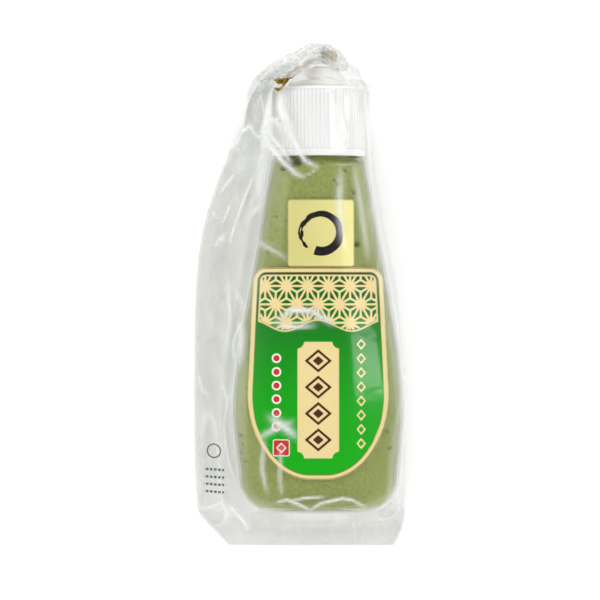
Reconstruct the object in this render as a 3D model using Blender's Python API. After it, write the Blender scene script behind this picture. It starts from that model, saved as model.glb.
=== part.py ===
"""Squeeze bottle of grated wasabi paste, lying on its back in a clear film bag closed with a twist tie.

The bottle lies along Y with its caps towards +Y, on the bag's flat underside at z = 0.
Every length below is in millimetres. The function solid() turns them into metres.
"""

import math

import bmesh
import bpy
import numpy as np

MM = 0.001
TURN = 2.0 * math.pi

# Where the bottle lies
FILM = 0.6            # wall of the bag, thicker than real film so that it is a sound solid
FIT = 0.3             # gap between pieces that touch
BAG_CLEARANCE = 1.0   # from the bottle to the bag's inside, with room for a label
BELLY_HALF_DEPTH = 21.0
AXIS_X = 7.2
AXIS_Z = FILM + BAG_CLEARANCE + BELLY_HALF_DEPTH
BASE_Y = -86.6

# Bottle: (distance from the base, half width, half depth), smooth between the stations
BODY_LENGTH = 141.6
BODY_STATIONS = [
    (0.0, 30.4, 19.6),
    (14.0, 31.4, 20.3),
    (42.0, 34.0, BELLY_HALF_DEPTH),
    (60.0, 32.4, 20.8),
    (100.0, 25.4, 19.4),
    (BODY_LENGTH, 18.3, 18.0),
]
BASE_CORNER = 13.0
BASE_DIMPLE = 1.2
BODY_WALL = 1.0
BODY_SQUARENESS = 2.3     # exponent of the oval section; 2 is an ellipse
SIDES = 48
COARSE_SIDES = 24

# Neck and its thread
NECK_ROOT = 16.0
NECK_WALL = 1.2
NECK_LENGTH = 26.0
THREAD_HEIGHT = 0.8
THREAD_PITCH = 4.0
THREAD_START = 5.0
THREAD_END = 17.0
SEAL_THICKNESS = 0.4

# Screw cap
CAP_GAP = 0.6             # from the shoulder up to the cap's rim
CAP_RIM_RADIUS = 18.9
CAP_FOOT_RADIUS = 18.7
CAP_TOP_RADIUS = 18.4
CAP_RIM_HEIGHT = 2.8
CAP_PLATE = 1.4
FLUTES = 72
FLUTE_DEPTH = 0.35
SPOUT_FOOT = 4.6
SPOUT_TIP = 2.8
SPOUT_HEIGHT = 5.4
SPOUT_BORE = 1.5
BOSS_RADIUS = 9.8
BOSS_HEIGHT = 1.4

# Top cap
TOP_CAP_FOOT = 11.8
TOP_CAP_TIP = 8.9
TOP_CAP_HEIGHT = 7.7
TOP_CAP_WALL = 1.0
TOP_CAP_SIDES = 36

# Labels, measured along the bottle from its base
LABEL_THICKNESS = 0.25
LABEL_ROWS = 12
GOLD_LABEL = (98.2, 124.8)
GOLD_HALF_WIDTH = 13.2
GOLD_ASIDE = 1.1          # how far right of the bottle's middle the square is stuck
GOLD_CORNER = 1.2
GREEN_LABEL = (14.0, 97.8)
GREEN_TOP_HALF_WIDTH = 25.6
GREEN_FLARE = 2.4
GREEN_FOOT_ROUND = 34.0   # the label's half-round lower end
GREEN_TOP_CORNER = 5.0
BACK_LABEL = (30.0, 88.0)
BACK_HALF_WIDTH = 20.0
BACK_CORNER = 3.0

# Bag: (y, left edge, right edge, height of the two side folds), smooth between the stations
NECK_Y = 96.0
TIE_X = 9.3
MOUTH_Y = 100.8
BAG_STATIONS = [
    (-MOUTH_Y, -29.0, 38.5, 0.0),
    (-94.0, -35.5, 41.6, 0.0),
    (-86.0, -41.6, 42.6, 0.0),
    (-40.0, -43.0, 41.5, 0.0),
    (0.0, -42.5, 39.5, 0.0),
    (24.0, -40.0, 35.0, 0.0),
    (48.0, -33.0, 31.0, 0.0),
    (66.0, -24.5, 29.0, 5.0),
    (80.0, -19.5, 27.0, 13.0),
    (88.0, -13.0, 24.5, 19.0),
    (92.6, -4.5, 21.0, 21.0),
    (94.8, 4.8, 13.8, AXIS_Z),
    (97.2, 4.8, 13.8, AXIS_Z),
    (MOUTH_Y, 4.4, 11.4, AXIS_Z),
]
CLEARANCES = ((BASE_Y - 9.0, 0.0), (BASE_Y - 1.0, BAG_CLEARANCE), (91.5, BAG_CLEARANCE), (94.8, 0.2))
TENT_LENGTH = 9.0         # from the base to where the film lies flat
FLAP_GAP = 0.3            # half the space between the two films where they lie flat
BAG_UPPER_POINTS = 32
BAG_LOWER_POINTS = 12
PLEATS_START = 52.0       # gathers deepen from here to the tied neck
PLEATS = 9
PLEAT_DEPTH = 0.12
SLACK = 5.0               # sag of the loose film on the left
SLACK_WAVE = 62.0

# Twist tie
TIE_WIDTH = 2.0
TIE_THICKNESS = 0.6
TAIL_END = (-9.6, 83.2)
TAIL_RISE = 17.0          # height of the tail's end over the bottle's axis
TAIL_BOW = 4.0
TAIL_WIDTH = 2.2
TAIL_THICKNESS = 1.1
TAIL_TWISTS = 2.5


# ---------------------------------------------------------------- shared tools

def clear_scene():
    for item in list(bpy.data.objects):
        bpy.data.objects.remove(item, do_unlink=True)


def material(name, colour, roughness, metallic=0.0, alpha=1.0):
    """A Principled material; colour is linear red, green, blue."""
    made = bpy.data.materials.new(name)
    made.use_nodes = True
    shader = made.node_tree.nodes["Principled BSDF"]
    shader.inputs["Base Color"].default_value = (*colour, 1.0)
    shader.inputs["Roughness"].default_value = roughness
    shader.inputs["Metallic"].default_value = metallic
    shader.inputs["Alpha"].default_value = alpha
    return made


def smooth_between(stations, where):
    """Each column of the stations at one place, on a curve that never overshoots them."""
    table = np.array(stations, dtype=float)
    at, values = table[:, 0], table[:, 1:]
    where = min(max(where, at[0]), at[-1])
    slopes = np.diff(values, axis=0) / np.diff(at)[:, None]
    inner = np.where(slopes[:-1] * slopes[1:] > 0, (slopes[:-1] + slopes[1:]) / 2, 0.0)
    limit = 3 * np.minimum(np.abs(slopes[:-1]), np.abs(slopes[1:]))
    inner = np.clip(inner, -limit, limit)
    tangents = np.vstack([slopes[:1], inner, slopes[-1:]])
    i = min(int(np.searchsorted(at, where, side="right")) - 1, len(at) - 2)
    step = at[i + 1] - at[i]
    t = (where - at[i]) / step
    start = (1 + 2 * t) * (1 - t) ** 2
    start_slope = t * (1 - t) ** 2 * step
    end = t * t * (3 - 2 * t)
    end_slope = t * t * (t - 1) * step
    curve = start * values[i] + end * values[i + 1]
    return curve + start_slope * tangents[i] + end_slope * tangents[i + 1]


def bridge(bm, first, second):
    """Faces between two rings of vertices; one may have a whole multiple of the other's count."""
    few, many = sorted((first, second), key=len)
    ratio = len(many) // len(few)
    half = ratio // 2
    for i, vertex in enumerate(few):
        following = few[(i + 1) % len(few)]
        fan = [many[(i * ratio + k) % len(many)] for k in range(ratio + 1)]
        if ratio == 1:
            bm.faces.new((vertex, following, fan[1], fan[0]))
            continue
        for k in range(ratio):
            bm.faces.new((vertex if k < half else following, fan[k + 1], fan[k]))
        bm.faces.new((vertex, following, fan[half]))


def close_end(bm, ring):
    """Fill a ring with quads that join its two halves."""
    count = len(ring)
    for i in range(count // 2 - 1):
        bm.faces.new((ring[i], ring[i + 1], ring[count - 2 - i], ring[count - 1 - i]))


def solid(name, rings, finish, closed=False, smooth=True):
    """One closed body through the rings: ends filled, or the last ring joined to the first."""
    bm = bmesh.new()
    made = [[bm.verts.new([value * MM for value in point]) for point in ring] for ring in rings]
    for first, second in zip(made, made[1:]):
        bridge(bm, first, second)
    if closed:
        bridge(bm, made[-1], made[0])
    else:
        close_end(bm, made[0])
        close_end(bm, made[-1])
    bmesh.ops.recalc_face_normals(bm, faces=bm.faces)
    mesh = bpy.data.meshes.new(name)
    bm.to_mesh(mesh)
    bm.free()
    mesh.materials.append(finish)
    item = bpy.data.objects.new(name, mesh)
    bpy.context.collection.objects.link(item)
    if smooth:
        mesh.shade_smooth()
        mesh.set_sharp_from_angle(angle=math.radians(35))
    return item


def round_ring(y, radius, count=SIDES, wave=0.0, waves=0):
    """A ring about the bottle's axis, with its radius waved in and out by flutes."""
    ring = []
    for i in range(count):
        angle = TURN * i / count
        reach = radius + wave * math.cos(waves * angle)
        ring.append((AXIS_X + reach * math.cos(angle), y, AXIS_Z + reach * math.sin(angle)))
    return ring


# ---------------------------------------------------------------- the bottle's shape

def body_halves(along, offset=0.0):
    """Half width and half depth of the body at a distance from its base."""
    width, depth = smooth_between(BODY_STATIONS, along)
    drop = max(BASE_CORNER - along, 0.0)
    inset = BASE_CORNER - math.sqrt(BASE_CORNER ** 2 - drop ** 2)
    return width - inset + offset, depth - 0.75 * inset + offset


def body_ring(along, offset=0.0, count=SIDES):
    """One oval section of the body, grown or shrunk by an offset."""
    width, depth = body_halves(along, offset)
    power = 2.0 / BODY_SQUARENESS
    ring = []
    for i in range(count):
        angle = TURN * i / count
        across = math.copysign(abs(math.cos(angle)) ** power, math.cos(angle)) * width
        up = math.copysign(abs(math.sin(angle)) ** power, math.sin(angle)) * depth
        ring.append((AXIS_X + across, BASE_Y + along, AXIS_Z + up))
    return ring


def scaled_ring(ring, factor, shift=0.0):
    """A ring drawn in towards the axis, moved along Y."""
    return [
        (AXIS_X + (x - AXIS_X) * factor, y + shift, AXIS_Z + (z - AXIS_Z) * factor)
        for x, y, z in ring
    ]


def thread_ring(above, grow=0.0):
    """A ring of the neck's thread: one helical ridge that fades in and out."""
    fade_in = min(max((above - THREAD_START) / 2.0, 0.0), 1.0)
    fade_out = min(max((THREAD_END - above) / 2.0, 0.0), 1.0)
    height = THREAD_HEIGHT * fade_in * fade_out
    ring = []
    for i in range(SIDES):
        turn = i / SIDES
        ridge = 0.5 + 0.5 * math.cos(TURN * (above / THREAD_PITCH - turn))
        reach = NECK_ROOT + grow + height * ridge
        angle = TURN * turn
        y = BASE_Y + BODY_LENGTH + above
        ring.append((AXIS_X + reach * math.cos(angle), y, AXIS_Z + reach * math.sin(angle)))
    return ring


def thread_heights():
    return list(np.arange(THREAD_START, THREAD_END + 0.01, 1.0))


CORNER_STEPS = [BASE_CORNER * (1 - math.cos(math.radians(a))) for a in (0, 15, 30, 45, 60, 75, 90)]
BODY_STEPS = CORNER_STEPS + [22.0, 32.0, 42.0, 52.0, 62.0, 72.0, 82.0, 92.0, 104.0, 120.0]
BODY_STEPS.append(BODY_LENGTH - 0.8)


def make_bottle(finish):
    shoulder = BASE_Y + BODY_LENGTH
    base = body_ring(0.0)
    outside = [scaled_ring(base, 0.35, BASE_DIMPLE), scaled_ring(base, 0.75, BASE_DIMPLE), base]
    outside += [body_ring(step) for step in BODY_STEPS[1:]]
    outside.append(scaled_ring(body_ring(BODY_LENGTH), 0.965))
    outside.append(round_ring(shoulder, NECK_ROOT + 0.5))
    outside.append(round_ring(shoulder + 0.8, NECK_ROOT))
    outside += [thread_ring(above) for above in thread_heights()]
    outside.append(round_ring(shoulder + NECK_LENGTH, NECK_ROOT))
    inner_radius = NECK_ROOT - NECK_WALL
    inside = [round_ring(shoulder + NECK_LENGTH, inner_radius), round_ring(shoulder, inner_radius)]
    inside += [body_ring(step, -BODY_WALL) for step in reversed(BODY_STEPS[3:-1])]
    floor = body_ring(CORNER_STEPS[2], -BODY_WALL - 0.6)
    inside.append(floor)
    inside.append(scaled_ring(floor, 0.6, 0.6))
    return solid("bottle", outside + inside, finish)


def make_paste(finish):
    """The filling, a fit gap inside the wall, up into the neck."""
    shrink = -BODY_WALL - FIT
    floor = body_ring(CORNER_STEPS[3], shrink - 0.8, COARSE_SIDES)
    rings = [scaled_ring(floor, 0.6, 0.4), floor]
    rings += [body_ring(step, shrink, COARSE_SIDES) for step in BODY_STEPS[4:-2:2]]
    rings.append(body_ring(BODY_STEPS[-2], shrink, COARSE_SIDES))
    shoulder = BASE_Y + BODY_LENGTH
    fill = NECK_ROOT - NECK_WALL - FIT - 0.2
    rings.append(round_ring(shoulder - 3.0, fill, COARSE_SIDES))
    rings.append(round_ring(shoulder + 8.0, fill, COARSE_SIDES))
    rings.append(round_ring(shoulder + 9.0, fill - 3.0, COARSE_SIDES))
    return solid("paste", rings, finish)


def make_seal(finish):
    start = BASE_Y + BODY_LENGTH + NECK_LENGTH + FIT
    radius = NECK_ROOT - 0.2
    rings = [round_ring(y, radius, COARSE_SIDES) for y in (start, start + SEAL_THICKNESS)]
    return solid("mouth_seal", rings, finish)


# ---------------------------------------------------------------- the caps

def cap_foot():
    return BASE_Y + BODY_LENGTH + CAP_GAP


def cap_top():
    return BASE_Y + BODY_LENGTH + NECK_LENGTH + 2 * FIT + SEAL_THICKNESS + CAP_PLATE


def make_screw_cap(finish):
    """Rim, fluted skirt, top plate with a ring and a spout, and the inner thread, in one loop."""
    foot = cap_foot()
    top = cap_top()
    flutes = 2 * FLUTES
    wave = FLUTE_DEPTH / 2
    spout_tip = top + SPOUT_HEIGHT
    rings = [
        round_ring(spout_tip, SPOUT_BORE, COARSE_SIDES),
        round_ring(spout_tip, SPOUT_TIP, COARSE_SIDES),
        round_ring(top + BOSS_HEIGHT, SPOUT_FOOT, COARSE_SIDES),
        round_ring(top + BOSS_HEIGHT, BOSS_RADIUS, COARSE_SIDES),
        round_ring(top, BOSS_RADIUS, COARSE_SIDES),
        round_ring(top, CAP_TOP_RADIUS - 1.0),
        round_ring(top - 0.35, CAP_TOP_RADIUS - 0.3),
        round_ring(top - 1.2, CAP_TOP_RADIUS, flutes),
        round_ring(top - 2.2, CAP_TOP_RADIUS - wave, flutes, wave, FLUTES),
        round_ring(foot + CAP_RIM_HEIGHT + 0.5, CAP_FOOT_RADIUS - wave, flutes, wave, FLUTES),
        round_ring(foot + CAP_RIM_HEIGHT, CAP_RIM_RADIUS, flutes),
        round_ring(foot + 0.4, CAP_RIM_RADIUS),
        round_ring(foot, CAP_RIM_RADIUS - 0.4),
        round_ring(foot, NECK_ROOT + FIT + 0.8),
        round_ring(foot + 2.0, NECK_ROOT + FIT),
    ]
    rings += [thread_ring(above, FIT) for above in thread_heights()]
    underside = top - CAP_PLATE
    rings.append(round_ring(underside, NECK_ROOT + FIT))
    rings.append(round_ring(underside, SPOUT_BORE, COARSE_SIDES))
    return solid("screw_cap", rings, finish, closed=True)


def make_top_cap(finish):
    foot = cap_top() + FIT
    tip = foot + TOP_CAP_HEIGHT
    wall = TOP_CAP_WALL
    rings = [
        round_ring(tip, TOP_CAP_TIP - 2.6, TOP_CAP_SIDES),
        round_ring(tip, TOP_CAP_TIP - 1.1, TOP_CAP_SIDES),
        round_ring(tip - 0.35, TOP_CAP_TIP - 0.3, TOP_CAP_SIDES),
        round_ring(tip - 1.1, TOP_CAP_TIP, TOP_CAP_SIDES),
        round_ring(foot + 0.5, TOP_CAP_FOOT, TOP_CAP_SIDES),
        round_ring(foot, TOP_CAP_FOOT - 0.4, TOP_CAP_SIDES),
        round_ring(foot, TOP_CAP_FOOT - wall - 0.4, TOP_CAP_SIDES),
        round_ring(foot + 0.8, TOP_CAP_FOOT - wall - 0.3, TOP_CAP_SIDES),
        round_ring(tip - wall - 0.8, TOP_CAP_TIP - wall, TOP_CAP_SIDES),
        round_ring(tip - wall, TOP_CAP_TIP - wall - 1.2, TOP_CAP_SIDES),
    ]
    return solid("top_cap", rings, finish)


# ---------------------------------------------------------------- the labels

def label_row(along, half_width, below, columns, aside=0.0):
    """A strip of a label across the bottle: its upper line, then its underside back again."""
    row = []
    for layer, direction in ((FIT + LABEL_THICKNESS, 1), (FIT, -1)):
        width, depth = body_halves(along, layer)
        for k in range(columns + 1):
            x = aside + direction * half_width * (2 * k / columns - 1)
            rise = depth * (1 - abs(x / width) ** BODY_SQUARENESS) ** (1 / BODY_SQUARENESS)
            z = AXIS_Z - rise if below else AXIS_Z + rise
            row.append((AXIS_X + x, BASE_Y + along, z))
    return row


def rounded_steps(start, end, corner_start, corner_end):
    """Distances along a label, closer together in its rounded ends."""
    angles = [math.radians(a) for a in (12, 30, 50, 70, 90)]
    head = [start + corner_start * (1 - math.cos(a)) for a in angles]
    tail = [end - corner_end * (1 - math.cos(a)) for a in reversed(angles)]
    middle = list(np.linspace(head[-1], tail[0], LABEL_ROWS - 3))[1:-1]
    return [start] + head + middle + tail + [end]


def rounded_half_width(along, start, end, full, corner_start, corner_end, corner_across=None):
    """Half width of a label whose ends are rounded by elliptical corners."""
    for distance, corner in ((along - start, corner_start), (end - along, corner_end)):
        if distance < corner:
            across = corner_across if (corner_across and corner > 10.0) else corner
            left = 1 - distance / corner
            return full - across * (1 - math.sqrt(max(1 - left * left, 0.0)))
    return full


def make_gold_label(finish):
    start, end = GOLD_LABEL
    rows = []
    for along in rounded_steps(start, end, GOLD_CORNER, GOLD_CORNER):
        half = rounded_half_width(along, start, end, GOLD_HALF_WIDTH, GOLD_CORNER, GOLD_CORNER)
        rows.append(label_row(along, half, False, 8, GOLD_ASIDE))
    return solid("gold_label", rows, finish)


def make_front_label(finish):
    """Straight top with small corners, sides that flare with the bottle, and a half-round foot."""
    start, end = GREEN_LABEL
    foot, corner = GREEN_FOOT_ROUND, GREEN_TOP_CORNER
    rows = []
    for along in rounded_steps(start, end, foot, corner):
        flare = GREEN_FLARE * min((end - along) / (end - start - foot), 1.0)
        full = GREEN_TOP_HALF_WIDTH + flare
        half = rounded_half_width(along, start, end, full, foot, corner, full - 3.0)
        rows.append(label_row(along, half, False, 20))
    return solid("front_label", rows, finish)


def make_back_label(finish):
    start, end = BACK_LABEL
    rows = []
    for along in rounded_steps(start, end, BACK_CORNER, BACK_CORNER):
        half = rounded_half_width(along, start, end, BACK_HALF_WIDTH, BACK_CORNER, BACK_CORNER)
        rows.append(label_row(along, half, True, 10))
    return solid("back_label", rows, finish)


# ---------------------------------------------------------------- the bag

def contents_section(y):
    """Half width, half depth and height of what the bag holds at y.

    Past the bottle's base the section sinks to the floor. Past the caps it is the gathered neck.
    """
    along = y - BASE_Y
    if along < 0.0:
        left = max(1.0 + along / TENT_LENGTH, 0.0)
        width, depth = body_halves(0.0)
        flat = FLAP_GAP + FILM
        return width * (0.5 + 0.5 * left), depth * left, flat + (AXIS_Z - flat) * left
    if y <= cap_foot() - 3.0:
        return (*body_halves(along), AXIS_Z)
    stations = [
        (cap_foot() - 3.0, *body_halves(cap_foot() - 3.0 - BASE_Y)),
        (cap_foot(), CAP_RIM_RADIUS, CAP_RIM_RADIUS),
        (cap_top() + 0.4, CAP_TOP_RADIUS, CAP_TOP_RADIUS),
        (cap_top() + 4.0, TOP_CAP_FOOT, TOP_CAP_FOOT),
        (cap_top() + TOP_CAP_HEIGHT + 0.6, TOP_CAP_TIP, TOP_CAP_TIP),
        (NECK_Y - 1.2, 3.0, 3.0),
        (NECK_Y + 1.2, 3.0, 3.0),
        (MOUTH_Y, 3.4, 1.6),
    ]
    return (*smooth_between(stations, y), AXIS_Z)


def bag_outline(y, grow):
    """Points whose hull is the bag's section: round what it holds, and round its two side folds."""
    left, right, fold = smooth_between(BAG_STATIONS, y)
    width, depth, height = contents_section(y)
    clearance = smooth_between(CLEARANCES, y)[0]
    middle = bag_middle(y)
    angles = np.linspace(0.0, TURN, 96, endpoint=False)
    power = 2.0 / BODY_SQUARENESS if y < cap_foot() else 1.0
    across = np.sign(np.cos(angles)) * np.abs(np.cos(angles)) ** power
    upwards = np.sign(np.sin(angles)) * np.abs(np.sin(angles)) ** power
    oval_x = middle + (width + clearance + grow) * across
    oval_z = height + (depth + clearance + grow) * upwards
    fold_radius = FLAP_GAP + grow
    left_x = left + FLAP_GAP + FILM + fold_radius * np.cos(angles)
    right_x = right - FLAP_GAP - FILM + fold_radius * np.cos(angles)
    fold_z = max(fold, FLAP_GAP + FILM) + fold_radius * np.sin(angles)
    xs = np.concatenate([oval_x, left_x, right_x])
    zs = np.concatenate([oval_z, fold_z, fold_z])
    return xs, zs


def bag_middle(y):
    """The middle of what the bag holds: the bottle's axis, then the neck's."""
    return smooth_between(((cap_top(), AXIS_X), (NECK_Y, TIE_X), (MOUTH_Y, TIE_X - 1.0)), y)[0]


def hull_path(xs, zs, start, end, count):
    """Evenly spaced points on the hull of the given ones, between two directions seen from inside."""
    turns = np.linspace(start, end, 240)
    order = [int(np.argmax(xs * math.cos(turn) + zs * math.sin(turn))) for turn in turns]
    x, z = xs[order], zs[order]
    run = np.concatenate([[0.0], np.cumsum(np.hypot(np.diff(x), np.diff(z)))])
    at = np.linspace(0.0, run[-1], count + 1)[:-1]
    return list(zip(np.interp(at, run, x), np.interp(at, run, z)))


def left_slack(x, y):
    """How far the loose film between the left fold and the bottle hangs below a taut line."""
    end = PLEATS_START + 20.0
    left = smooth_between(BAG_STATIONS, y)[0]
    touch = AXIS_X - 0.8 * contents_section(y)[0]
    if not (left < x < touch and BASE_Y < y < end):
        return 0.0
    across = (x - left) / (touch - left)
    ends = math.sin(math.pi * (y - BASE_Y) / (end - BASE_Y))
    wave = 0.7 + 0.3 * math.sin(TURN * y / SLACK_WAVE)
    return SLACK * ends * wave * math.sin(math.pi * across) ** 2


def bag_ring(y, grow):
    """A ring of the bag: over the top from the left fold to the right one, then back underneath."""
    xs, zs = bag_outline(y, grow)
    right_fold = -math.pi / 4
    left_fold = -3 * math.pi / 4
    path = hull_path(xs, zs, left_fold + TURN, right_fold, BAG_UPPER_POINTS)
    path += hull_path(xs, zs, right_fold, left_fold, BAG_LOWER_POINTS)
    middle = bag_middle(y)
    floor = FILM - grow
    depth = PLEAT_DEPTH * min(max((y - PLEATS_START) / (NECK_Y - PLEATS_START), 0.0), 1.0) ** 2
    ring = []
    for i, (x, z) in enumerate(path):
        if i < BAG_UPPER_POINTS:
            z -= left_slack(x, y)
        push = 1.0 + depth * (0.5 - 0.5 * math.cos(TURN * PLEATS * i / len(path)))
        ring.append((middle + (x - middle) * push, y, max(AXIS_Z + (z - AXIS_Z) * push, floor)))
    return ring


def bag_steps(first):
    """Stations along the bag, close together over the caps and at the neck."""
    lengthwise = [first, -98.0, BASE_Y - TENT_LENGTH, BASE_Y - 5.0, BASE_Y - 1.5]
    lengthwise += [BASE_Y + step for step in CORNER_STEPS]
    lengthwise += list(np.linspace(-66.0, 48.0, 11))
    lengthwise += [54.0, 60.0, 66.0, 72.0, 77.0, 81.0, 84.5, 87.5, 89.5, 91.5]
    lengthwise += [93.2, 94.8, 97.2, 99.0, MOUTH_Y]
    return lengthwise


def make_bag(finish):
    """A thin shell, sealed at its foot and open only through the gathered neck."""
    foot = BAG_STATIONS[0][0]
    outside = [bag_ring(y, FILM) for y in bag_steps(foot)]
    inside = [bag_ring(y, 0.0) for y in reversed(bag_steps(foot + 1.2))]
    return solid("bag", outside + inside, finish)


# ---------------------------------------------------------------- the twist tie

def tie_band():
    """The flat band round the gathered neck, clear of its deepest pleat."""
    ring = bag_ring(NECK_Y, FILM)
    reach = max(math.hypot(x - TIE_X, z - AXIS_Z) for x, _, z in ring) + FIT + 0.3
    corners = [
        (NECK_Y - TIE_WIDTH / 2, reach),
        (NECK_Y + TIE_WIDTH / 2, reach),
        (NECK_Y + TIE_WIDTH / 2, reach + TIE_THICKNESS),
        (NECK_Y - TIE_WIDTH / 2, reach + TIE_THICKNESS),
    ]
    rings = []
    for y, radius in corners:
        rings.append([
            (TIE_X + radius * math.cos(TURN * i / 32), y, AXIS_Z + radius * math.sin(TURN * i / 32))
            for i in range(32)
        ])
    return rings, reach


def tie_tail(reach):
    """The two twisted ends: a thin bar that turns as it runs down the left of the bag's shoulder."""
    start = np.array((TIE_X - reach * 0.5, NECK_Y - 0.2, AXIS_Z + reach * 0.87 + 0.5))
    end = np.array((*TAIL_END, AXIS_Z + TAIL_RISE))
    rings = []
    steps = 26
    along = (end - start) / np.linalg.norm(end - start)
    side = np.cross(along, (0.0, 0.0, 1.0))
    side /= np.linalg.norm(side)
    up = np.cross(side, along)
    for k in range(steps + 1):
        t = k / steps
        centre = start + (end - start) * t + up * TAIL_BOW * math.sin(math.pi * t)
        turn = math.pi * TAIL_TWISTS * t
        wide = (side * math.cos(turn) + up * math.sin(turn)) * TAIL_WIDTH / 2
        thin = (up * math.cos(turn) - side * math.sin(turn)) * TAIL_THICKNESS / 2
        rings.append([tuple(centre + wide + thin), tuple(centre - wide + thin),
                      tuple(centre - wide - thin), tuple(centre + wide - thin)])
    return rings


def make_tie(finish):
    band, reach = tie_band()
    tie = solid("twist_tie", band, finish, closed=True, smooth=False)
    tail = solid("tie_tail_cutter", tie_tail(reach), finish, smooth=False)
    join = tie.modifiers.new("join the tail", "BOOLEAN")
    join.operation = "UNION"
    join.solver = "EXACT"
    join.object = tail
    tail.hide_render = True
    tail.display_type = "WIRE"
    return tie


# ---------------------------------------------------------------- build

def main():
    clear_scene()
    white = material("white cap plastic", (0.90, 0.90, 0.88), 0.35)
    make_bottle(material("clear bottle plastic", (0.80, 0.86, 0.72), 0.15, alpha=0.35))
    make_paste(material("grated wasabi paste", (0.25, 0.31, 0.10), 0.55))
    make_seal(material("liner", (0.75, 0.76, 0.78), 0.3, metallic=0.8))
    make_screw_cap(white)
    make_top_cap(material("top cap plastic", (0.82, 0.82, 0.80), 0.35))
    make_gold_label(material("gold label", (0.80, 0.74, 0.36), 0.3, metallic=0.6))
    make_front_label(material("green label", (0.012, 0.24, 0.015), 0.35))
    make_back_label(material("back label", (0.85, 0.85, 0.80), 0.5))
    make_bag(material("clear film", (0.86, 0.88, 0.86), 0.12, alpha=0.2))
    make_tie(material("gold tie", (0.62, 0.45, 0.16), 0.3, metallic=0.8))


main()
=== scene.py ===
# %% [markdown]
# # A squeeze bottle of grated wasabi in a tied clear bag
#
# The object lies on its back on a pale surface. A see-through plastic bottle is full of green paste. It has
# a white fluted screw cap with a small cap on its spout, two labels on the front and one on the back. A clear
# film bag holds it, gathered past the caps and closed with a gold twist tie.
#
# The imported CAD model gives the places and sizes. Every piece below is made in millimetres from the same
# driving sizes as that model, and one function turns millimetres into metres as it builds a mesh.

import math
from types import SimpleNamespace

import bmesh
import bpy
import numpy as np
from mathutils import Matrix, Vector, noise


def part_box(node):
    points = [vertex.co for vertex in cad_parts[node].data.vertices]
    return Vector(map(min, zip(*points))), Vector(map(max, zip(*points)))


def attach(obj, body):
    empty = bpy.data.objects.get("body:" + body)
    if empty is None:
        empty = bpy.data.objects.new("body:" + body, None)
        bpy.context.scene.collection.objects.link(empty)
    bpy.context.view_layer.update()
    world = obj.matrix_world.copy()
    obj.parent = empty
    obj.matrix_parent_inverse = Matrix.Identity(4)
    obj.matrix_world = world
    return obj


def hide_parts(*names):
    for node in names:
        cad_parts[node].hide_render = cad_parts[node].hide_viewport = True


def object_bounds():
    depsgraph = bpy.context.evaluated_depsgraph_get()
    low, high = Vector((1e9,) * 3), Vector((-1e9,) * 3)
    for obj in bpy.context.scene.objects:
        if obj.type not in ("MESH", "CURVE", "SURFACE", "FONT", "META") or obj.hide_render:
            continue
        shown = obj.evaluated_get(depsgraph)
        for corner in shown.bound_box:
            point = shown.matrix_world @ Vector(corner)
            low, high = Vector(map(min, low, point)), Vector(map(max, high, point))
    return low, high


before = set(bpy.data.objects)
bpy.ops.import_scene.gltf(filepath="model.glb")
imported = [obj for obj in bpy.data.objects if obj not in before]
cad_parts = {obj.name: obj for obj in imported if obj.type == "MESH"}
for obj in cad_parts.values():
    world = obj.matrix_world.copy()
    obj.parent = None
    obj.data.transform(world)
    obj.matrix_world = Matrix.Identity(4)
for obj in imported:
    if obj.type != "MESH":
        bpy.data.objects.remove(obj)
cad_low, cad_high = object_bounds()
MM = 0.001
TURN = 2.0 * math.pi
print("CAD box in mm:", [round(v / MM, 1) for v in cad_low], [round(v / MM, 1) for v in cad_high])

# %% [markdown]
# ## Helpers
#
# Colours are written as the hex values a painter would pick from a screen, and one function turns them into
# the linear values that a renderer needs. One function adds a shader node with its settings and links, so a
# material reads as a short list of what it is made of. Another lays colours over each other, as inks are.

# %% Colour and node helpers


def linear(hex_colour):
    """Linear red, green, blue, alpha from an sRGB hex value such as "8a945c"."""
    parts = [int(hex_colour[i:i + 2], 16) / 255 for i in (0, 2, 4)]
    return (*[c / 12.92 if c <= 0.04045 else ((c + 0.055) / 1.055) ** 2.4 for c in parts], 1.0)


def add_node(tree, kind, inputs=None, **settings):
    """Add a node. Inputs are given by name or number, as a value or as another node's output socket."""
    node = tree.nodes.new(kind)
    for key, value in settings.items():
        setattr(node, key, value)
    for key, value in (inputs or {}).items():
        if isinstance(value, bpy.types.NodeSocket):
            tree.links.new(value, node.inputs[key])
        else:
            node.inputs[key].default_value = value
    return node


def new_material(name):
    """An empty node material and its output node."""
    made = bpy.data.materials.new(name)
    made.use_nodes = True
    made.node_tree.nodes.clear()
    return made, made.node_tree, made.node_tree.nodes.new("ShaderNodeOutputMaterial")


def layered(tree, ground, layers):
    """Colours one over another, each where its mask lets it."""
    colour = ground
    for mask, ink in layers:
        colour = add_node(tree, "ShaderNodeMix", {0: mask, 6: colour, 7: ink}, data_type="RGBA").outputs[2]
    return colour


print("mid grey 808080 is", round(linear("808080")[0], 3), "in linear light")

# %% [markdown]
# ## Pieces from points
#
# A bottle, a cap, a label and a bag are all skins. Each is made as rows of points with quads between them.
# That is quick, keeps every size exact and gives an even grid for the print and the folds to use. Every piece
# rides on the one body, because nothing here is loose while the bag is tied.

# %% Mesh helpers


def make_piece(name, points, faces, material, stands_for=()):
    """A smooth mesh object from points in millimetres, riding on the body and standing for CAD nodes."""
    mesh = bpy.data.meshes.new(name)
    mesh.from_pydata((np.asarray(points, float) * MM).tolist(), [], faces)
    mesh.update()
    mesh.materials.append(material)
    mesh.shade_smooth()
    piece = bpy.data.objects.new(name, mesh)
    bpy.context.scene.collection.objects.link(piece)
    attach(piece, "root")
    if stands_for:
        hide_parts(*stands_for)
    print(f"{name}: {len(mesh.vertices)} points, {len(mesh.polygons)} faces")
    return piece


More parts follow.
